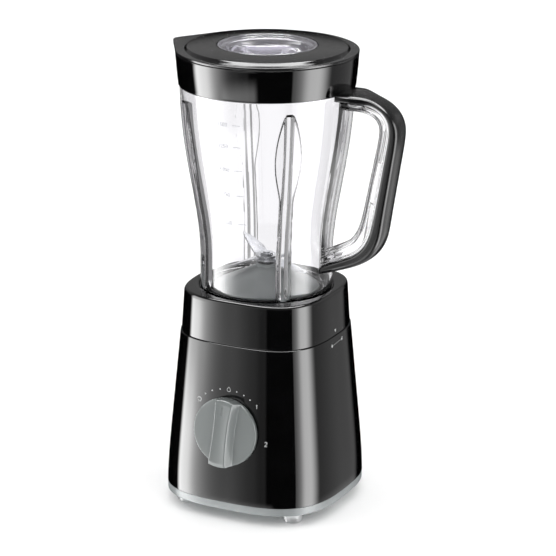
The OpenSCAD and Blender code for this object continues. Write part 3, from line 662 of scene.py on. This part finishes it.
def knob_height(x, y):
    """Height of the knob's face: a gently domed disc and a raised grip bar with leaning sides."""
    across = x * math.cos(KNOB_REST) + y * math.sin(KNOB_REST)
    along = y * math.cos(KNOB_REST) - x * math.sin(KNOB_REST)
    out = np.hypot(across, along) / KNOB_R
    crown_half = 5.4 + 1.5 * (along / KNOB_R) ** 2
    fall = np.interp(np.abs(across) - crown_half, wall_steps, wall_fall)
    disc = KNOB_FACE - 0.5 * out**2
    hollow = 0.3 * np.clip(1 - (across / crown_half) ** 2, 0, 1)
    end_fall = 0.7 * (along / KNOB_R) ** 2 + 1.3 * smoothstep(0.84, 1.0, out) ** 2
    top = KNOB_TOP - hollow - end_fall
    to_slot = np.hypot(across, np.maximum(0, np.abs(along - SLOT_MIDDLE) - SLOT_HALF))
    return lerp(top, disc, fall) - 0.6 * smoothstep(1.25, 0.75, to_slot)


def build_knob():
    steps = 720
    turn = angles(steps)
    edge_r = 1.0
    bore_r = 3.02

    def face_height(radius):
        return knob_height(radius * np.cos(turn), radius * np.sin(turn))

    rows = [ring(r, face_height(r), turn) for r in np.linspace(0.3, KNOB_R - edge_r, 118)]
    edge_height = face_height(KNOB_R - edge_r)
    for angle in np.radians([15, 30, 45, 60, 75, 90]):
        radius = KNOB_R - edge_r + edge_r * math.sin(angle)
        rows.append(ring(radius, edge_height - edge_r * (1 - math.cos(angle)), turn))
    under = ((KNOB_R, 1.0), (KNOB_R - 0.4, 0.6), (bore_r, 0.6), (bore_r, 8.0), (0.3, 8.0))
    rows += [ring(radius, level, turn) for radius, level in under]
    knob = new_object("knob_grip", *loft(np.array(rows), False), dial_place)
    finish_piece(knob, "knob", "grey_plastic", ["speed_knob"], KNOB_GREY, crease=50)


# ---------- marks ----------


class Marks:
    """Thin raised print, built flat as (u, v, thickness) and then wrapped onto a surface."""

    def __init__(self, thickness=0.08):
        self.thickness = thickness
        self.vertices = []
        self.faces = []

    def add(self, vertices, faces):
        start = len(self.vertices)
        self.vertices += [tuple(vertex) for vertex in vertices]
        self.faces += [[start + index for index in face] for face in faces]

    def arc(self, u, v, radius, width, start, sweep):
        """Part of a ring, with closed ends."""
        steps = 28
        t = np.radians(start + np.arange(steps + 1) * sweep / steps)
        section = [(radius - width / 2, 0), (radius + width / 2, 0)]
        section += [(radius + width / 2, self.thickness), (radius - width / 2, self.thickness)]
        points = [[(u + r * math.cos(a), v + r * math.sin(a), h) for r, h in section] for a in t]
        self.add(*loft(np.array(points), False))

    def patch(self, outline):
        """A filled outline of (u, v) points, going round once."""
        low = [(u, v, 0) for u, v in outline]
        high = [(u, v, self.thickness) for u, v in outline]
        count = len(outline)
        walls = [[i, (i + 1) % count, (i + 1) % count + count, i + count] for i in range(count)]
        self.add(low + high, [list(range(count))[::-1], list(range(count, 2 * count))] + walls)

    def dot(self, u, v, radius):
        self.patch([(u + radius * math.cos(a), v + radius * math.sin(a)) for a in angles(16)])

    def bar(self, u0, v0, u1, v1, width):
        """A straight stroke, cut into short pieces so that it can follow a curved surface."""
        pieces = 6
        start, end = np.array([u0, v0]), np.array([u1, v1])
        along = (end - start) / np.linalg.norm(end - start) * width / 2
        side = np.array([-along[1], along[0]])
        rings = []
        for t in np.linspace(0, 1, pieces + 1):
            middle = lerp(start, end, t)
            low, high = middle - side, middle + side
            rings.append([(*low, 0), (*high, 0), (*high, self.thickness), (*low, self.thickness)])
        self.add(*loft(np.array(rings), False))

    def text(self, words, u, v, size):
        """Digits centred on (u, v)."""
        curve = bpy.data.curves.new("digits", "FONT")
        curve.body = words
        curve.size = size
        curve.align_x = "CENTER"
        curve.align_y = "CENTER"
        curve.extrude = self.thickness / 2
        curve.resolution_u = 3
        obj = scene_object("digits", curve)
        mesh = evaluated_mesh(obj)
        work = bmesh.new()
        work.from_mesh(mesh)
        bmesh.ops.remove_doubles(work, verts=work.verts, dist=0.0005)
        points = [(u + p.co.x, v + p.co.y, p.co.z + self.thickness / 2) for p in work.verts]
        self.add(points, [[p.index for p in face.verts] for face in work.faces])
        work.free()
        bpy.data.objects.remove(obj)
        bpy.data.curves.remove(curve)
        bpy.data.meshes.remove(mesh)

    def lay(self, name, body, ink, wrap):
        """Makes the piece; wrap turns (u, v, thickness) arrays into x, y, z."""
        u, v, lift = np.array(self.vertices, float).T
        obj = new_object(name, np.stack(wrap(u, v, lift), -1), self.faces)
        finish_piece(obj, body, "nylon", material=ink)


SINK = 0.03


def on_front(u, v, lift):
    z = DIAL_Z + v * math.cos(math.radians(DIAL_LEAN))
    return u, -(housing_y(u, z) + lift - SINK), z


def on_right(u, v, lift):
    return housing_y(u, v) + lift - SINK, u, v


def on_collar(u, v, lift):
    half = lerp(63.8, 61.8, (v - COLLAR_LOW) / (RECESS_Z - COLLAR_LOW))
    return half * (1 - np.abs(u / half) ** SQUARE) ** (1 / SQUARE) + lift - SINK, u, v


def build_dial_marks():
    marks = Marks()
    ring_r = 35.2
    stroke = 0.38

    def at(degrees):
        a = math.radians(degrees)
        return ring_r * math.sin(a), ring_r * math.cos(a)

    for degrees in (-37, -25, -12.5, 12.5, 23.5, 34):
        marks.dot(*at(degrees), 0.62)
    u, v = at(-50)
    marks.arc(u, v, 1.75, 0.5, 215, 325)
    u, v = at(0.5)
    marks.arc(u, v - 0.3, 1.5, stroke, 130, 280)
    for side in (-1, 1):
        marks.bar(u + side * 0.96, v + 0.85, u + side * 0.05, v + 2.1, stroke)
    u, v = at(46.5)
    marks.bar(u + 0.2, v - 1.6, u + 0.2, v + 1.7, 0.5)
    marks.bar(u - 0.6, v + 1.0, u + 0.1, v + 1.6, stroke)
    u, v = at(100.5)
    marks.arc(u, v + 0.8, 0.95, 0.5, -35, 205)
    marks.bar(u + 0.82, v + 0.3, u - 1.0, v - 1.8, 0.5)
    marks.bar(u - 1.05, v - 1.9, u + 1.1, v - 1.9, 0.5)
    marks.lay("dial_marks", "power_unit", INK_WHITE, on_front)


def build_lock_marks():
    marks = Marks()
    for u, v in ((-9.0, 142.4), (9.5, 143.6)):
        low, high = v - 0.9, v + 0.8
        marks.patch([(u - 1.0, low), (u + 1.0, low), (u + 1.0, high), (u - 1.0, high)])
        marks.arc(u + (0.8 if u > 0 else 0), v + 0.9, 0.7, 0.32, 0, 180)
    marks.bar(-6.8, 142.6, 7.4, 143.6, 0.22)
    marks.lay("lock_marks", "power_unit", INK_WHITE, on_right)
    pointer = Marks()
    pointer.patch([(-1.4, 154.6), (0, 152.2), (1.4, 154.6)])
    pointer.lay("lock_pointer", "blade_base", INK_WHITE, on_collar)


# ---------- goblet collar ----------


RECESS_R, RECESS_Z = 55.3, 183.6
CUP_R, CUP_LOW, CUP_HOLE_R = 50.9, 172.0, 30.0
KEY_LOW_CORNER, KEY_TOP_CORNER = (41.6, -5, 161.4), (45.4, 5, 173)


def build_collar():
    deck_low = 181.4
    corners = [
        (63.8, COLLAR_LOW, 0.5, SQUARE), (61.8, RECESS_Z, 1.2, SQUARE),
        (60.6, COLLAR_TOP, 1.0, SQUARE), (56.2, COLLAR_TOP, 0.9, ROUND),
        (RECESS_R, 184.7, 0.4, ROUND), (RECESS_R, RECESS_Z, 0.3, ROUND),
        (CUP_R + 0.3, RECESS_Z, 0.3, ROUND), (CUP_R, 183.2, 0.2, ROUND),
        (CUP_R, CUP_LOW + 3, 0.3, ROUND), (CUP_HOLE_R, CUP_LOW + 3, 0.4, ROUND),
        (CUP_HOLE_R, CUP_LOW, 0.4, ROUND), (CUP_R + 3, CUP_LOW, 0.8, ROUND),
        (CUP_R + 3, deck_low, 0.6, ROUND), (59.4, deck_low, 0.6, SQUARE),
        (61.3, COLLAR_LOW, 0.2, SQUARE),
    ]
    collar = squared_piece("collar_shell", corners, 288, 7)
    for turn in (45, 135, 225, 315):
        place = Matrix.Rotation(math.radians(turn), 4, "Z")
        add(collar, block_tool("key", KEY_LOW_CORNER, KEY_TOP_CORNER, place))
    finish_piece(collar, "blade_base", "black_gloss", ["goblet_collar"])


# ---------- goblet ----------

FLANK = bezier([(WAIST_R, WAIST_Z), (WAIST_R, 253.6), (70.2, 294.3), (RIM_R, RIM_Z)], 60)


def smoothed(points, rounds):
    """A path with its kinks eased, its ends kept."""
    points = np.array(points, float)
    for _ in range(rounds):
        points[1:-1] = 0.5 * points[1:-1] + 0.25 * (points[:-2] + points[2:])
    return points


def handle_path(crest, side_low, foot, root):
    """An edge of the handle in the XZ plane, with the same number of points for every edge."""
    over = bezier(crest, 22)
    down = np.linspace(crest[3], side_low, 19)[1:]
    under = bezier([side_low, *foot], 20)[1:]
    back_in = np.linspace(foot[2], root, 11)[1:]
    return smoothed(np.concatenate([over, down, under, back_in]), 8)


HANDLE_OUTER = handle_path(
    [(80, 355.6), (99, 355.8), (120.3, 346.5), (121.2, 326)],
    (109.4, 252),
    [(108, 240), (107, 220), (80, 210.8)],
    (53, 201.5),
)
HANDLE_SPLIT = handle_path(
    [(80, 350), (100, 349.5), (113, 345), (112.6, 327)],
    (99.4, 252),
    [(96.5, 239.5), (92.5, 225.5), (77, 219.5)],
    (53, 209.5),
)
HANDLE_INNER = handle_path(
    [(72, 341), (91, 341), (102.5, 340), (102, 325)],
    (87.5, 254),
    [(84.5, 243), (80.5, 235), (72, 230.5)],
    (53, 221.5),
)


def handle_rings(outer, inner, lead, half_width, out_power, in_power, groove=0.0):
    """Rounded sections between the two edges, led into the rim; grooves run along the sides."""
    start_out = np.array([[lead, outer[0][1]]])
    start_in = np.array([[lead, inner[0][1]]])
    outer, inner = np.concatenate([start_out, outer]), np.concatenate([start_in, inner])
    steps = 120
    turn = angles(steps)
    depth_share, width_share = np.cos(turn), np.sin(turn)
    rings = []
    for (x1, z1), (x0, z0), half in zip(outer, inner, half_width):
        power = np.where(depth_share > 0, out_power, in_power)
        d = np.sign(depth_share) * np.abs(depth_share) ** (2 / power)
        w = np.sign(width_share) * np.abs(width_share) ** (2 / power)
        ripple = (0.5 - 0.5 * np.cos(TURN * 2.5 * d)) * smoothstep(0.95, 0.7, np.abs(d))
        w = w * (1 - groove * ripple)
        x = (x1 + x0) / 2 + d * (x1 - x0) / 2
        z = (z1 + z0) / 2 + d * (z1 - z0) / 2
        rings.append(np.stack([x, w * half, z], -1))
    return np.array(rings)


NOTCH_DEPTH = 9.0
RIB_TURNS = [math.radians(a) for a in (42, 132, 222, 312)]
RIB_TOP = 344.0
LEAF = smoothed(
    np.concatenate(
        [
            [(6.3, SHOULDER_Z - 4), (6.2, 230), (5.8, 262)],
            bezier([(5.6, 270), (8.0, 288), (17.0, 304), (4.6, 342.0)], 24),
            [(2.4, RIB_TOP)],
        ]
    ),
    1,
)


def rib_push(turn, radius, z):
    """How far the inner wall stands in at the leaf-shaped ribs: a step, a slope and a crest."""
    half = np.interp(z, LEAF[:, 1], LEAF[:, 0])
    below_top = smoothstep(RIB_TOP - 0.5, RIB_TOP - 2.5, z)
    push = np.zeros_like(radius)
    for rib in RIB_TURNS:
        away = angle_between(turn, rib) * radius
        inside = np.maximum(half - away, 0)
        step = 1.0 * np.clip(inside / 0.9, 0, 1)
        slope = 1.7 * np.clip(inside / np.maximum(half - 1.7, 1.0), 0, 1)
        crest = 2.8 * np.clip((3.9 - away) / 2.5, 0, 1) * below_top
        push = np.maximum(push, step + slope + crest * (inside > 0))
    return push * smoothstep(RIB_TOP + 0.5, RIB_TOP - 1.3, z)


def jug_side(low, offset):
    """The jug's side as (radius, z) rows from the level low up, moved out by the offset."""
    return [(r + offset, z) for r, z in np.concatenate([[(WAIST_R, low)], FLANK[::4]])]


def core_tool(rows, steps):
    """The round body that the handle's pieces are cut back to."""
    rings = profile_rings([(radius, z, ROUND) for radius, z in rows], steps)
    return new_object("core", *loft(rings, False))


def build_jug():
    steps = 720
    turn = angles(steps)
    outside = round_rows(
        [
            (46.5, 181.0, 0.0), (50.5, 181.0, 0.4), (50.5, SHOULDER_Z, 0.5),
            (WAIST_R, SHOULDER_Z, 1.1), (WAIST_R, 200.0, 0.0),
        ],
        5,
        closed=False,
    )
    seat = round_rows(
        [
            (RIM_R, RIM_Z, 0.0), (RIM_R, RIM_Z + 1.2, 0.5), (SEAT_R, RIM_Z + 1.2, 0.3),
            (SEAT_R, JUG_TOP, 0.6), (MOUTH_R, JUG_TOP, 0.9), (MOUTH_R, RIM_Z + 6, 4.0),
            (RIM_R - JUG_WALL, RIM_Z - 2, 0.0),
        ],
        5,
        closed=False,
    )[1:]
    outer_rows = np.concatenate([outside, FLANK[:-1], seat])
    inner_flank = FLANK[::-1][2:] - (JUG_WALL, 0)
    foot = [(WAIST_R - JUG_WALL, z) for z in np.linspace(WAIST_Z, 190, 12)[1:]]
    foot += [(51.3, 187.6), (50.4, 185.6), (48.6, 184.4), (46.9, 183.9), (46.5, 183.4)]
    flank_levels = np.linspace(inner_flank[0][1], WAIST_Z, 150)
    rising = inner_flank[np.argsort(inner_flank[:, 1])]
    flank_radii = np.interp(flank_levels, rising[:, 1], rising[:, 0])
    inner_rows = np.concatenate([np.stack([flank_radii, flank_levels], -1), foot])
    radius, height = spread(np.concatenate([outer_rows, inner_rows]), steps)
    first_inner = len(outer_rows)
    ribbed = rib_push(turn[None, :], radius[first_inner:], height[first_inner:])
    keep = smoothstep(RECESS_Z, 187.5, height[first_inner:])
    radius[first_inner:] -= ribbed * keep
    notch = smoothstep(0.215, 0.185, angle_between(turn, math.pi))
    height -= NOTCH_DEPTH * notch * smoothstep(RIM_Z + 6, JUG_TOP, height)
    jug = new_object("jug_clear", *loft(ring(radius, height, turn), True))

    share = np.linspace(0, 1, len(HANDLE_SPLIT) + 1)
    half_width = 7.5 + 3.5 * smoothstep(0.10, 0.0, share) + 2.0 * smoothstep(0.86, 1.0, share)
    grip_rings = handle_rings(HANDLE_SPLIT, HANDLE_INNER, 66, half_width, 7.0, 3.0, 0.1)
    grip = new_object("grip", *loft(grip_rings, False))
    core_rows = [(0.5, 195.0), *jug_side(195.0, -1.6), (SEAT_R - 1.6, 372.0), (0.5, 372.0)]
    cut(grip, core_tool(core_rows, 180))
    add(jug, grip)
    finish_piece(jug, "goblet", "clear_plastic", ["jug"], crease=40)


def spout_outline(turn, reach, tip_r, body_r):
    """Radius, at each angle, of a round body of body_r with a beak that reaches out towards -X."""
    away = angle_between(turn, math.pi)
    centre = reach - tip_r
    tangent = math.acos((body_r - tip_r) / centre)
    touch = math.atan2(tip_r * math.sin(tangent), centre + tip_r * math.cos(tangent))
    flat = body_r / np.cos(np.clip(tangent - away, 0, 1.5))
    small = np.clip(away, 0, touch)
    tip = centre * np.cos(small) + np.sqrt(tip_r**2 - (centre * np.sin(small)) ** 2)
    return np.where(away < touch, tip, np.where(away < tangent, flat, body_r))


def eased(radius, rounds):
    """A closed outline with its tightest turns softened."""
    for _ in range(rounds):
        radius = 0.5 * radius + 0.25 * (np.roll(radius, 1) + np.roll(radius, -1))
    return radius


HANDLE_X, HANDLE_HALF = 76.5, 24.0
SPOUT_STEPS = 480
SPOUT_TURN = angles(SPOUT_STEPS)
SPOUT_BULGE = eased(spout_outline(SPOUT_TURN, SPOUT_REACH, SPOUT_TIP_R, FLANGE_R), 6) - FLANGE_R


def build_band():
    rows = round_rows(
        [
            (SEAT_R + 0.08, BAND_LOW, 0.2), (72.0, BAND_LOW, 0.5), (73.2, 366.0, 6.0),
            (74.2, BAND_TOP, 0.9), (MOUTH_R + 0.1, BAND_TOP, 0.6),
            (MOUTH_R + 0.1, JUG_TOP + 0.1, 0.1), (SEAT_R + 0.08, JUG_TOP + 0.1, 0.1),
        ],
        10,
    )
    outer_r = 70.5
    outer = (rows[:, 0] > outer_r) & (rows[:, 1] > BAND_LOW + 0.6) & (rows[:, 1] < BAND_TOP - 1.0)
    first, last = np.flatnonzero(outer)[[0, -1]]
    levels = np.linspace(BAND_LOW + 1, BAND_TOP - 1.2, 26)
    above_foot = levels - BAND_LOW
    side = 71.95 + 0.116 * above_foot - 0.00121 * above_foot**2
    rows = np.concatenate([rows[:first], np.stack([side, levels], -1), rows[last + 1 :]])
    radius, height = spread(rows, SPOUT_STEPS)
    spout_share = np.minimum(smoothstep(359.0, 383.5, height) ** 1.1 * 1.05, 1)
    radius = radius + SPOUT_BULGE * spout_share * smoothstep(outer_r, 73.5, radius)
    beak = smoothstep(0.30, 0.12, np.abs(SPOUT_TURN - math.pi))
    channel = (radius < 70.0) * smoothstep(370, 378, height)
    radius = radius + channel * beak * np.maximum(SPOUT_BULGE - 4.0, 0)
    band = new_object("band_ring", *loft(ring(radius, height, SPOUT_TURN), True))

    outer_edge, split_edge = HANDLE_OUTER.copy(), HANDLE_SPLIT.copy()
    share = np.linspace(0, 1, len(outer_edge) + 1)
    near = smoothstep(0.16, 0.0, share[1:])
    outer_edge[:, 1] += 1.2 * near**1.5
    split_edge[:, 1] -= 0.5 * near
    half_width = 11 + 8.0 * smoothstep(0.13, 0.0, share) ** 1.5 + 0.6 * smoothstep(0.8, 1.0, share)
    cover_rings = handle_rings(outer_edge, split_edge, 69, half_width, 2.7, 6.0)
    cover = new_object("cover", *loft(cover_rings, False))
    core_rows = [(0.5, 190.0), *jug_side(190.0, 0.12)]
    core_rows += [(SEAT_R + 0.5, RIM_Z + 1.6), (SEAT_R + 0.5, 375.0), (0.5, 375.0)]
    cut(cover, core_tool(core_rows, 240))
    add(band, cover)
    finish_piece(band, "goblet", "black_gloss", ["rim_band"], crease=40)
    band.data.materials.append(HANDLE_BLACK)
    for face in band.data.polygons:
        if face.center.x > HANDLE_X * MM and abs(face.center.y) < HANDLE_HALF * MM:
            face.material_index = 1


MARK_TURN = math.radians(272)
LITRE_MARKS = [("1500", 335.0), ("1250", 317.0), ("1000", 297.0), ("750", 275.5), ("500", 251.0)]


def flank_radius(z):
    return np.interp(z, FLANK[:, 1], FLANK[:, 0])


def build_graduations():
    def on_jug(u, v, lift):
        radius = flank_radius(v)
        turn = MARK_TURN + u / radius
        return (radius + lift - SINK) * np.cos(turn), (radius + lift - SINK) * np.sin(turn), v

    marks = Marks(0.16)
    for words, z in LITRE_MARKS:
        marks.text(words, -7.0, z, 4.6)
        marks.bar(2.0, z, 8.5, z, 0.4)
    marks.lay("graduations", "goblet", INK_GREY, on_jug)


# ---------- lid ----------


PLUG_R, SEAL_LOW, SEAL_TOP = 65.0, 367.0, 371.0


def build_lid():
    deck_low = FLANGE_TOP - 1.0
    corners = [
        (PLUG_R, FLANGE_LOW, 0.2), (FLANGE_R - 0.2, FLANGE_LOW, 0.6),
        (FLANGE_R - 0.2, FLANGE_TOP, 0.9), (67.0, FLANGE_TOP - 0.2, 0.4), (65.2, 385.35, 0.8),
        (55.0, 386.1, 6.0), (HOLE_R + 0.2, DOME_TOP, 0.6), (HOLE_R, 384.0, 0.4),
        (HOLE_R, 370.0, 0.4), (HOLE_R + 2, 370.0, 0.4), (HOLE_R + 2, deck_low, 0.6),
        (PLUG_R - 2.2, deck_low, 0.6), (PLUG_R - 2.2, 362.0, 0.4), (PLUG_R, 362.0, 0.4),
        (PLUG_R, SEAL_LOW, 0.2), (PLUG_R - 1, SEAL_LOW, 0.2), (PLUG_R - 1, SEAL_TOP, 0.2),
        (PLUG_R, SEAL_TOP, 0.2),
    ]
    radius, height = spread(round_rows(corners, 7), SPOUT_STEPS)
    radius = radius + SPOUT_BULGE * smoothstep(67.5, 73.2, radius) * 0.985
    lid = new_object("lid_cover", *loft(ring(radius, height, SPOUT_TURN), True))
    finish_piece(lid, "lid", "black_gloss", ["lid"], SATIN_BLACK, crease=40)


def build_cap():
    top = DOME_TOP
    rim_r, skirt_r, skirt_in_r, skirt_low, bowl_low = 40.45, 37.5, 35.5, 350.0, 370.0
    corners = [
        (0.4, bowl_low, 0.0), (33.5, bowl_low, 0.6), (34.8, bowl_low + 1.6, 0.6),
        (skirt_in_r, bowl_low - 2, 0.6), (skirt_in_r, skirt_low, 0.4), (skirt_r, skirt_low, 0.6),
        (skirt_r, top - 5, 0.8), (rim_r, top - 3.4, 0.5), (rim_r, top, 0.9),
        (38.4, top, 0.5), (37.6, top - 1.6, 0.5), (34.4, top - 2.2, 0.6),
        (33.2, top - 5.0, 0.8), (31.4, bowl_low + 2, 1.4), (12.0, bowl_low + 2.3, 3.0),
        (0.4, bowl_low + 2.6, 0.0),
    ]
    cap = lathe("cap_clear_painted_light", corners, 240, closed=False)
    reach, wave, half_width = 31.8, 7.0, 3.4
    steps = 20
    rings = []
    for t in np.linspace(-1, 1, 72):
        along = Vector((1, wave * math.pi / reach * math.cos(math.pi * t))).normalized()
        side = Vector((-along.y, along.x))
        centre = Vector((reach * t, wave * math.sin(math.pi * t)))
        height = lerp(bowl_low + 1.6, top - 0.9, float(1 - 0.35 * smoothstep(0.75, 1.0, abs(t))))
        points = []
        for a in angles(steps):
            across, rise = math.cos(a), math.sin(a)
            half = half_width - 0.9 * max(0.0, rise)
            offset = math.copysign(abs(across) ** 0.3, across) * half
            level = lerp(bowl_low + 1.2, height, 0.5 + 0.5 * math.copysign(abs(rise) ** 0.3, rise))
            points.append((*(centre + side * offset), level))
        rings.append(points)
    add(cap, new_object("cap_rib", *loft(np.array(rings), False)))
    finish_piece(cap, "filler_cap", "clear_plastic", ["filler_cap"], CAP_CLEAR_PAINTED_LIGHT, crease=45)


# ---------- blades ----------


BLADE_T, BLADE_W, BLADE_R, BLADE_HUB_R, BLADE_BORE_R = 1.6, 13.0, 34.0, 9.0, 3.0


def blade_arm(z, bend_degrees):
    """Rings of one bent arm from its hub out to the tip, ground thin along its leading edge."""
    flat, thick, start = BLADE_HUB_R, BLADE_T, -4.0
    bend = math.radians(bend_degrees)
    reach = (BLADE_R - flat) / math.cos(bend)
    rings = []
    for t in np.linspace(0, 1, 26):
        out = start + t * (flat - start + reach)
        lead = np.interp(t, [0, 0.55, 0.9, 1], [-0.5, -0.5, -0.1, 0.28]) * BLADE_W
        trail = np.interp(t, [0, 0.45, 0.8, 0.96, 1], [0.5, 0.5, 0.45, 0.36, 0.30]) * BLADE_W
        ground = min(1.0, max(0.0, (t - 0.28) * 6)) * 4.2
        ground = min(ground, (trail - lead) * 0.6)
        section = [(lead, 0.12), (lead + 0.15, 0.0), (trail - 0.2, 0.0), (trail, 0.25)]
        section += [(trail, thick - 0.25), (trail - 0.25, thick), (lead + ground, thick)]
        section += [(lead, lerp(thick - 0.1, 0.3, min(1.0, ground / 2.5)))]
        past = max(0.0, out - flat)
        curl = bend * min(1.0, past / 3.0)
        middle_x = min(out, flat) + past * math.cos(bend)
        middle_z = z + past * math.sin(bend) + thick / 2
        points = []
        for y, level in section:
            lift = level - thick / 2
            points.append((middle_x - lift * math.sin(curl), y, middle_z + lift * math.cos(curl)))
        rings.append(points)
    return loft(np.array(rings), False)


def build_blades(name, node, z, bend, heading):
    top = z + BLADE_T
    corners = [(BLADE_BORE_R, z, 0), (BLADE_HUB_R, z, 0.3)]
    corners += [(BLADE_HUB_R, top, 0.3), (BLADE_BORE_R, top, 0)]
    hub = lathe(name, corners, 96)
    for turn in (0, 180):
        place = Matrix.Rotation(math.radians(heading + turn), 4, "Z")
        add(hub, new_object("arm", *blade_arm(z, bend), place))
    cut(hub, disc_tool("bore", BLADE_BORE_R, z - 5, z + 8))
    finish_piece(hub, "blade_rotor", "blade_steel", [node], crease=24)


# ---------- CAD nodes that stay ----------


def dress_nodes():
    slots = {part["node"]: part["material_slot"] for part in frame["record"]["subparts"]}
    for name, obj in frame["nodes"].items():
        obj.data.materials.clear()
        obj.data.materials.append(MATERIALS[slots[name]])


# ---------- studio ----------


def build_world():
    """White for the eye, tall soft boxes for gloss, and a bright field behind the clear parts."""
    world = bpy.data.worlds.new("studio")
    bpy.context.scene.world = world
    world.use_nodes = True
    world.cycles.sampling_method = "NONE"
    world.node_tree.nodes.clear()
    sky = Nodes(world.node_tree)

    def math_node(operation, *values):
        made = sky.node("Math", operation=operation)
        sky.feed(made.inputs, values)
        return made.outputs["Value"]

    direction = sky.node("TexCoord").outputs["Generated"]
    split = sky.node("SeparateXYZ")
    sky.link(direction, split.inputs["Vector"])
    x, y, z = (split.outputs[axis] for axis in "XYZ")
    azimuth = math_node("DEGREES", math_node("ARCTAN2", x, math_node("MULTIPLY", y, -1)))
    elevation = math_node("DEGREES", math_node("ARCSINE", z))

    def window(value, start, full, fade, end):
        rising = sky.mapped(value, start, full, 0, 1)
        return math_node("MULTIPLY", rising, sky.mapped(value, fade, end, 1, 0))

    def box(level, azimuths, elevations):
        shape = math_node("MULTIPLY", window(azimuth, *azimuths), window(elevation, *elevations))
        return math_node("MULTIPLY", shape, level)

    def total(parts):
        amount = parts[0]
        for part in parts[1:]:
            amount = math_node("ADD", amount, part)
        return amount

    all_round = (-181, -180, 180, 181)
    low_side = (-60, -45, 16, 30)
    lowest = (-60, -59, -25, -20)
    upright = (-60, -40, 50, 70)
    panels = total(
        [
            box(9.6, (-83.5, -73, -60, -22), low_side),
            box(7.0, (-83.5, -73, -60, -40), (-60, -45, -14, -7)),
            box(1.3, (-50, -40, -30, -4), low_side),
            box(0.35, (-20, -10, 0, 5), low_side),
            box(1.9, (58, 61, 64, 74), low_side),
            box(12.0, (61, 86, 94, 118), low_side),
            box(0.55, (96, 116, 158, 168), low_side),
            box(3.2, (-40, -30, 8, 16), lowest),
            box(1.6, (96, 116, 158, 168), lowest),
            box(0.4, all_round, (6, 14, 40, 60)),
            box(21.0, all_round, (54, 59, 74, 80)),
            box(2.0, all_round, (74, 80, 90, 91)),
            box(1.0, all_round, (-91, -90, -48, -34)),
        ]
    )
    bright_field = total(
        [
            box(0.34, all_round, (-91, -90, 90, 91)),
            box(1.3, all_round, (34, 60, 90, 91)),
            box(0.97, (-181, -180, -138, -126), upright),
            box(0.97, (170, 180, 180, 181), upright),
            box(0.8, (-4, 8, 46, 58), upright),
        ]
    )

    def mix(amount, first, second):
        made = sky.node("Mix", data_type="FLOAT")
        floats = [socket for socket in made.inputs if socket.type == "VALUE"]
        sky.feed(floats, (amount, first, second))
        return [socket for socket in made.outputs if socket.type == "VALUE"][0]

    rays = sky.node("LightPath")
    soft = sky.mapped(elevation, -20, 80, 1.2, 1.5)
    strength = mix(rays.outputs["Is Glossy Ray"], soft, panels)
    lit_inside = math_node("GREATER_THAN", rays.outputs["Diffuse Depth"], 0.5)
    through_glass = mix(lit_inside, bright_field, soft)
    strength = mix(rays.outputs["Is Transmission Ray"], strength, through_glass)
    strength = mix(rays.outputs["Is Camera Ray"], strength, 1.0)
    background = sky.node("Background")
    sky.link(strength, background.inputs["Strength"])
    sky.link(background.outputs["Background"], sky.node("OutputWorld").inputs["Surface"])


def build_stage():
    floor_mesh = bpy.data.meshes.new("floor")
    reach = 14.0
    corners = [(-reach, -reach, 0), (reach, -reach, 0), (reach, reach, 0), (-reach, reach, 0)]
    floor_mesh.from_pydata(corners, [], [(0, 1, 2, 3)])
    floor = scene_object("floor", floor_mesh)
    paper = Surface("paper", (0.95, 0.95, 0.95), 0.9)
    paper.mottle(3, 0.2, 0.8, (0.96, 0.96, 0.96))
    paper.bumps(400, 0.05, 0.0001)
    floor.data.materials.append(paper.material)
    floor.visible_glossy = False
    floor.visible_transmission = False

    def soft_lamp(name, place, aim, size, power):
        light = bpy.data.lights.new(name, "AREA")
        light.shape = "DISK"
        light.size = size
        light.energy = power
        lamp = scene_object(name, light)
        lamp.location = place
        lamp.rotation_euler = (Vector(aim) - Vector(place)).to_track_quat("-Z", "Y").to_euler()
        lamp.visible_glossy = False
        lamp.visible_camera = False
        lamp.visible_transmission = False

    soft_lamp("key", (-1.6, -1.4, 2.2), (0, 0, 0.2), 1.6, 9)
    soft_lamp("fill", (1.9, -0.9, 1.6), (0, 0, 0.2), 1.4, 9)
    bpy.context.scene.view_settings.view_transform = "Standard"


# ---------- assembly ----------

build_camera()
dress_nodes()
build_housing()
build_tray()
build_feet()
build_knob()
build_dial_marks()
build_lock_marks()
build_collar()
build_jug()
build_band()
build_graduations()
build_lid()
build_cap()
build_blades("blades_low", "lower_blades", 206.0, -22, 8)
build_blades("blades_high", "upper_blades", 209.0, 25, -35)
build_world()
build_stage()
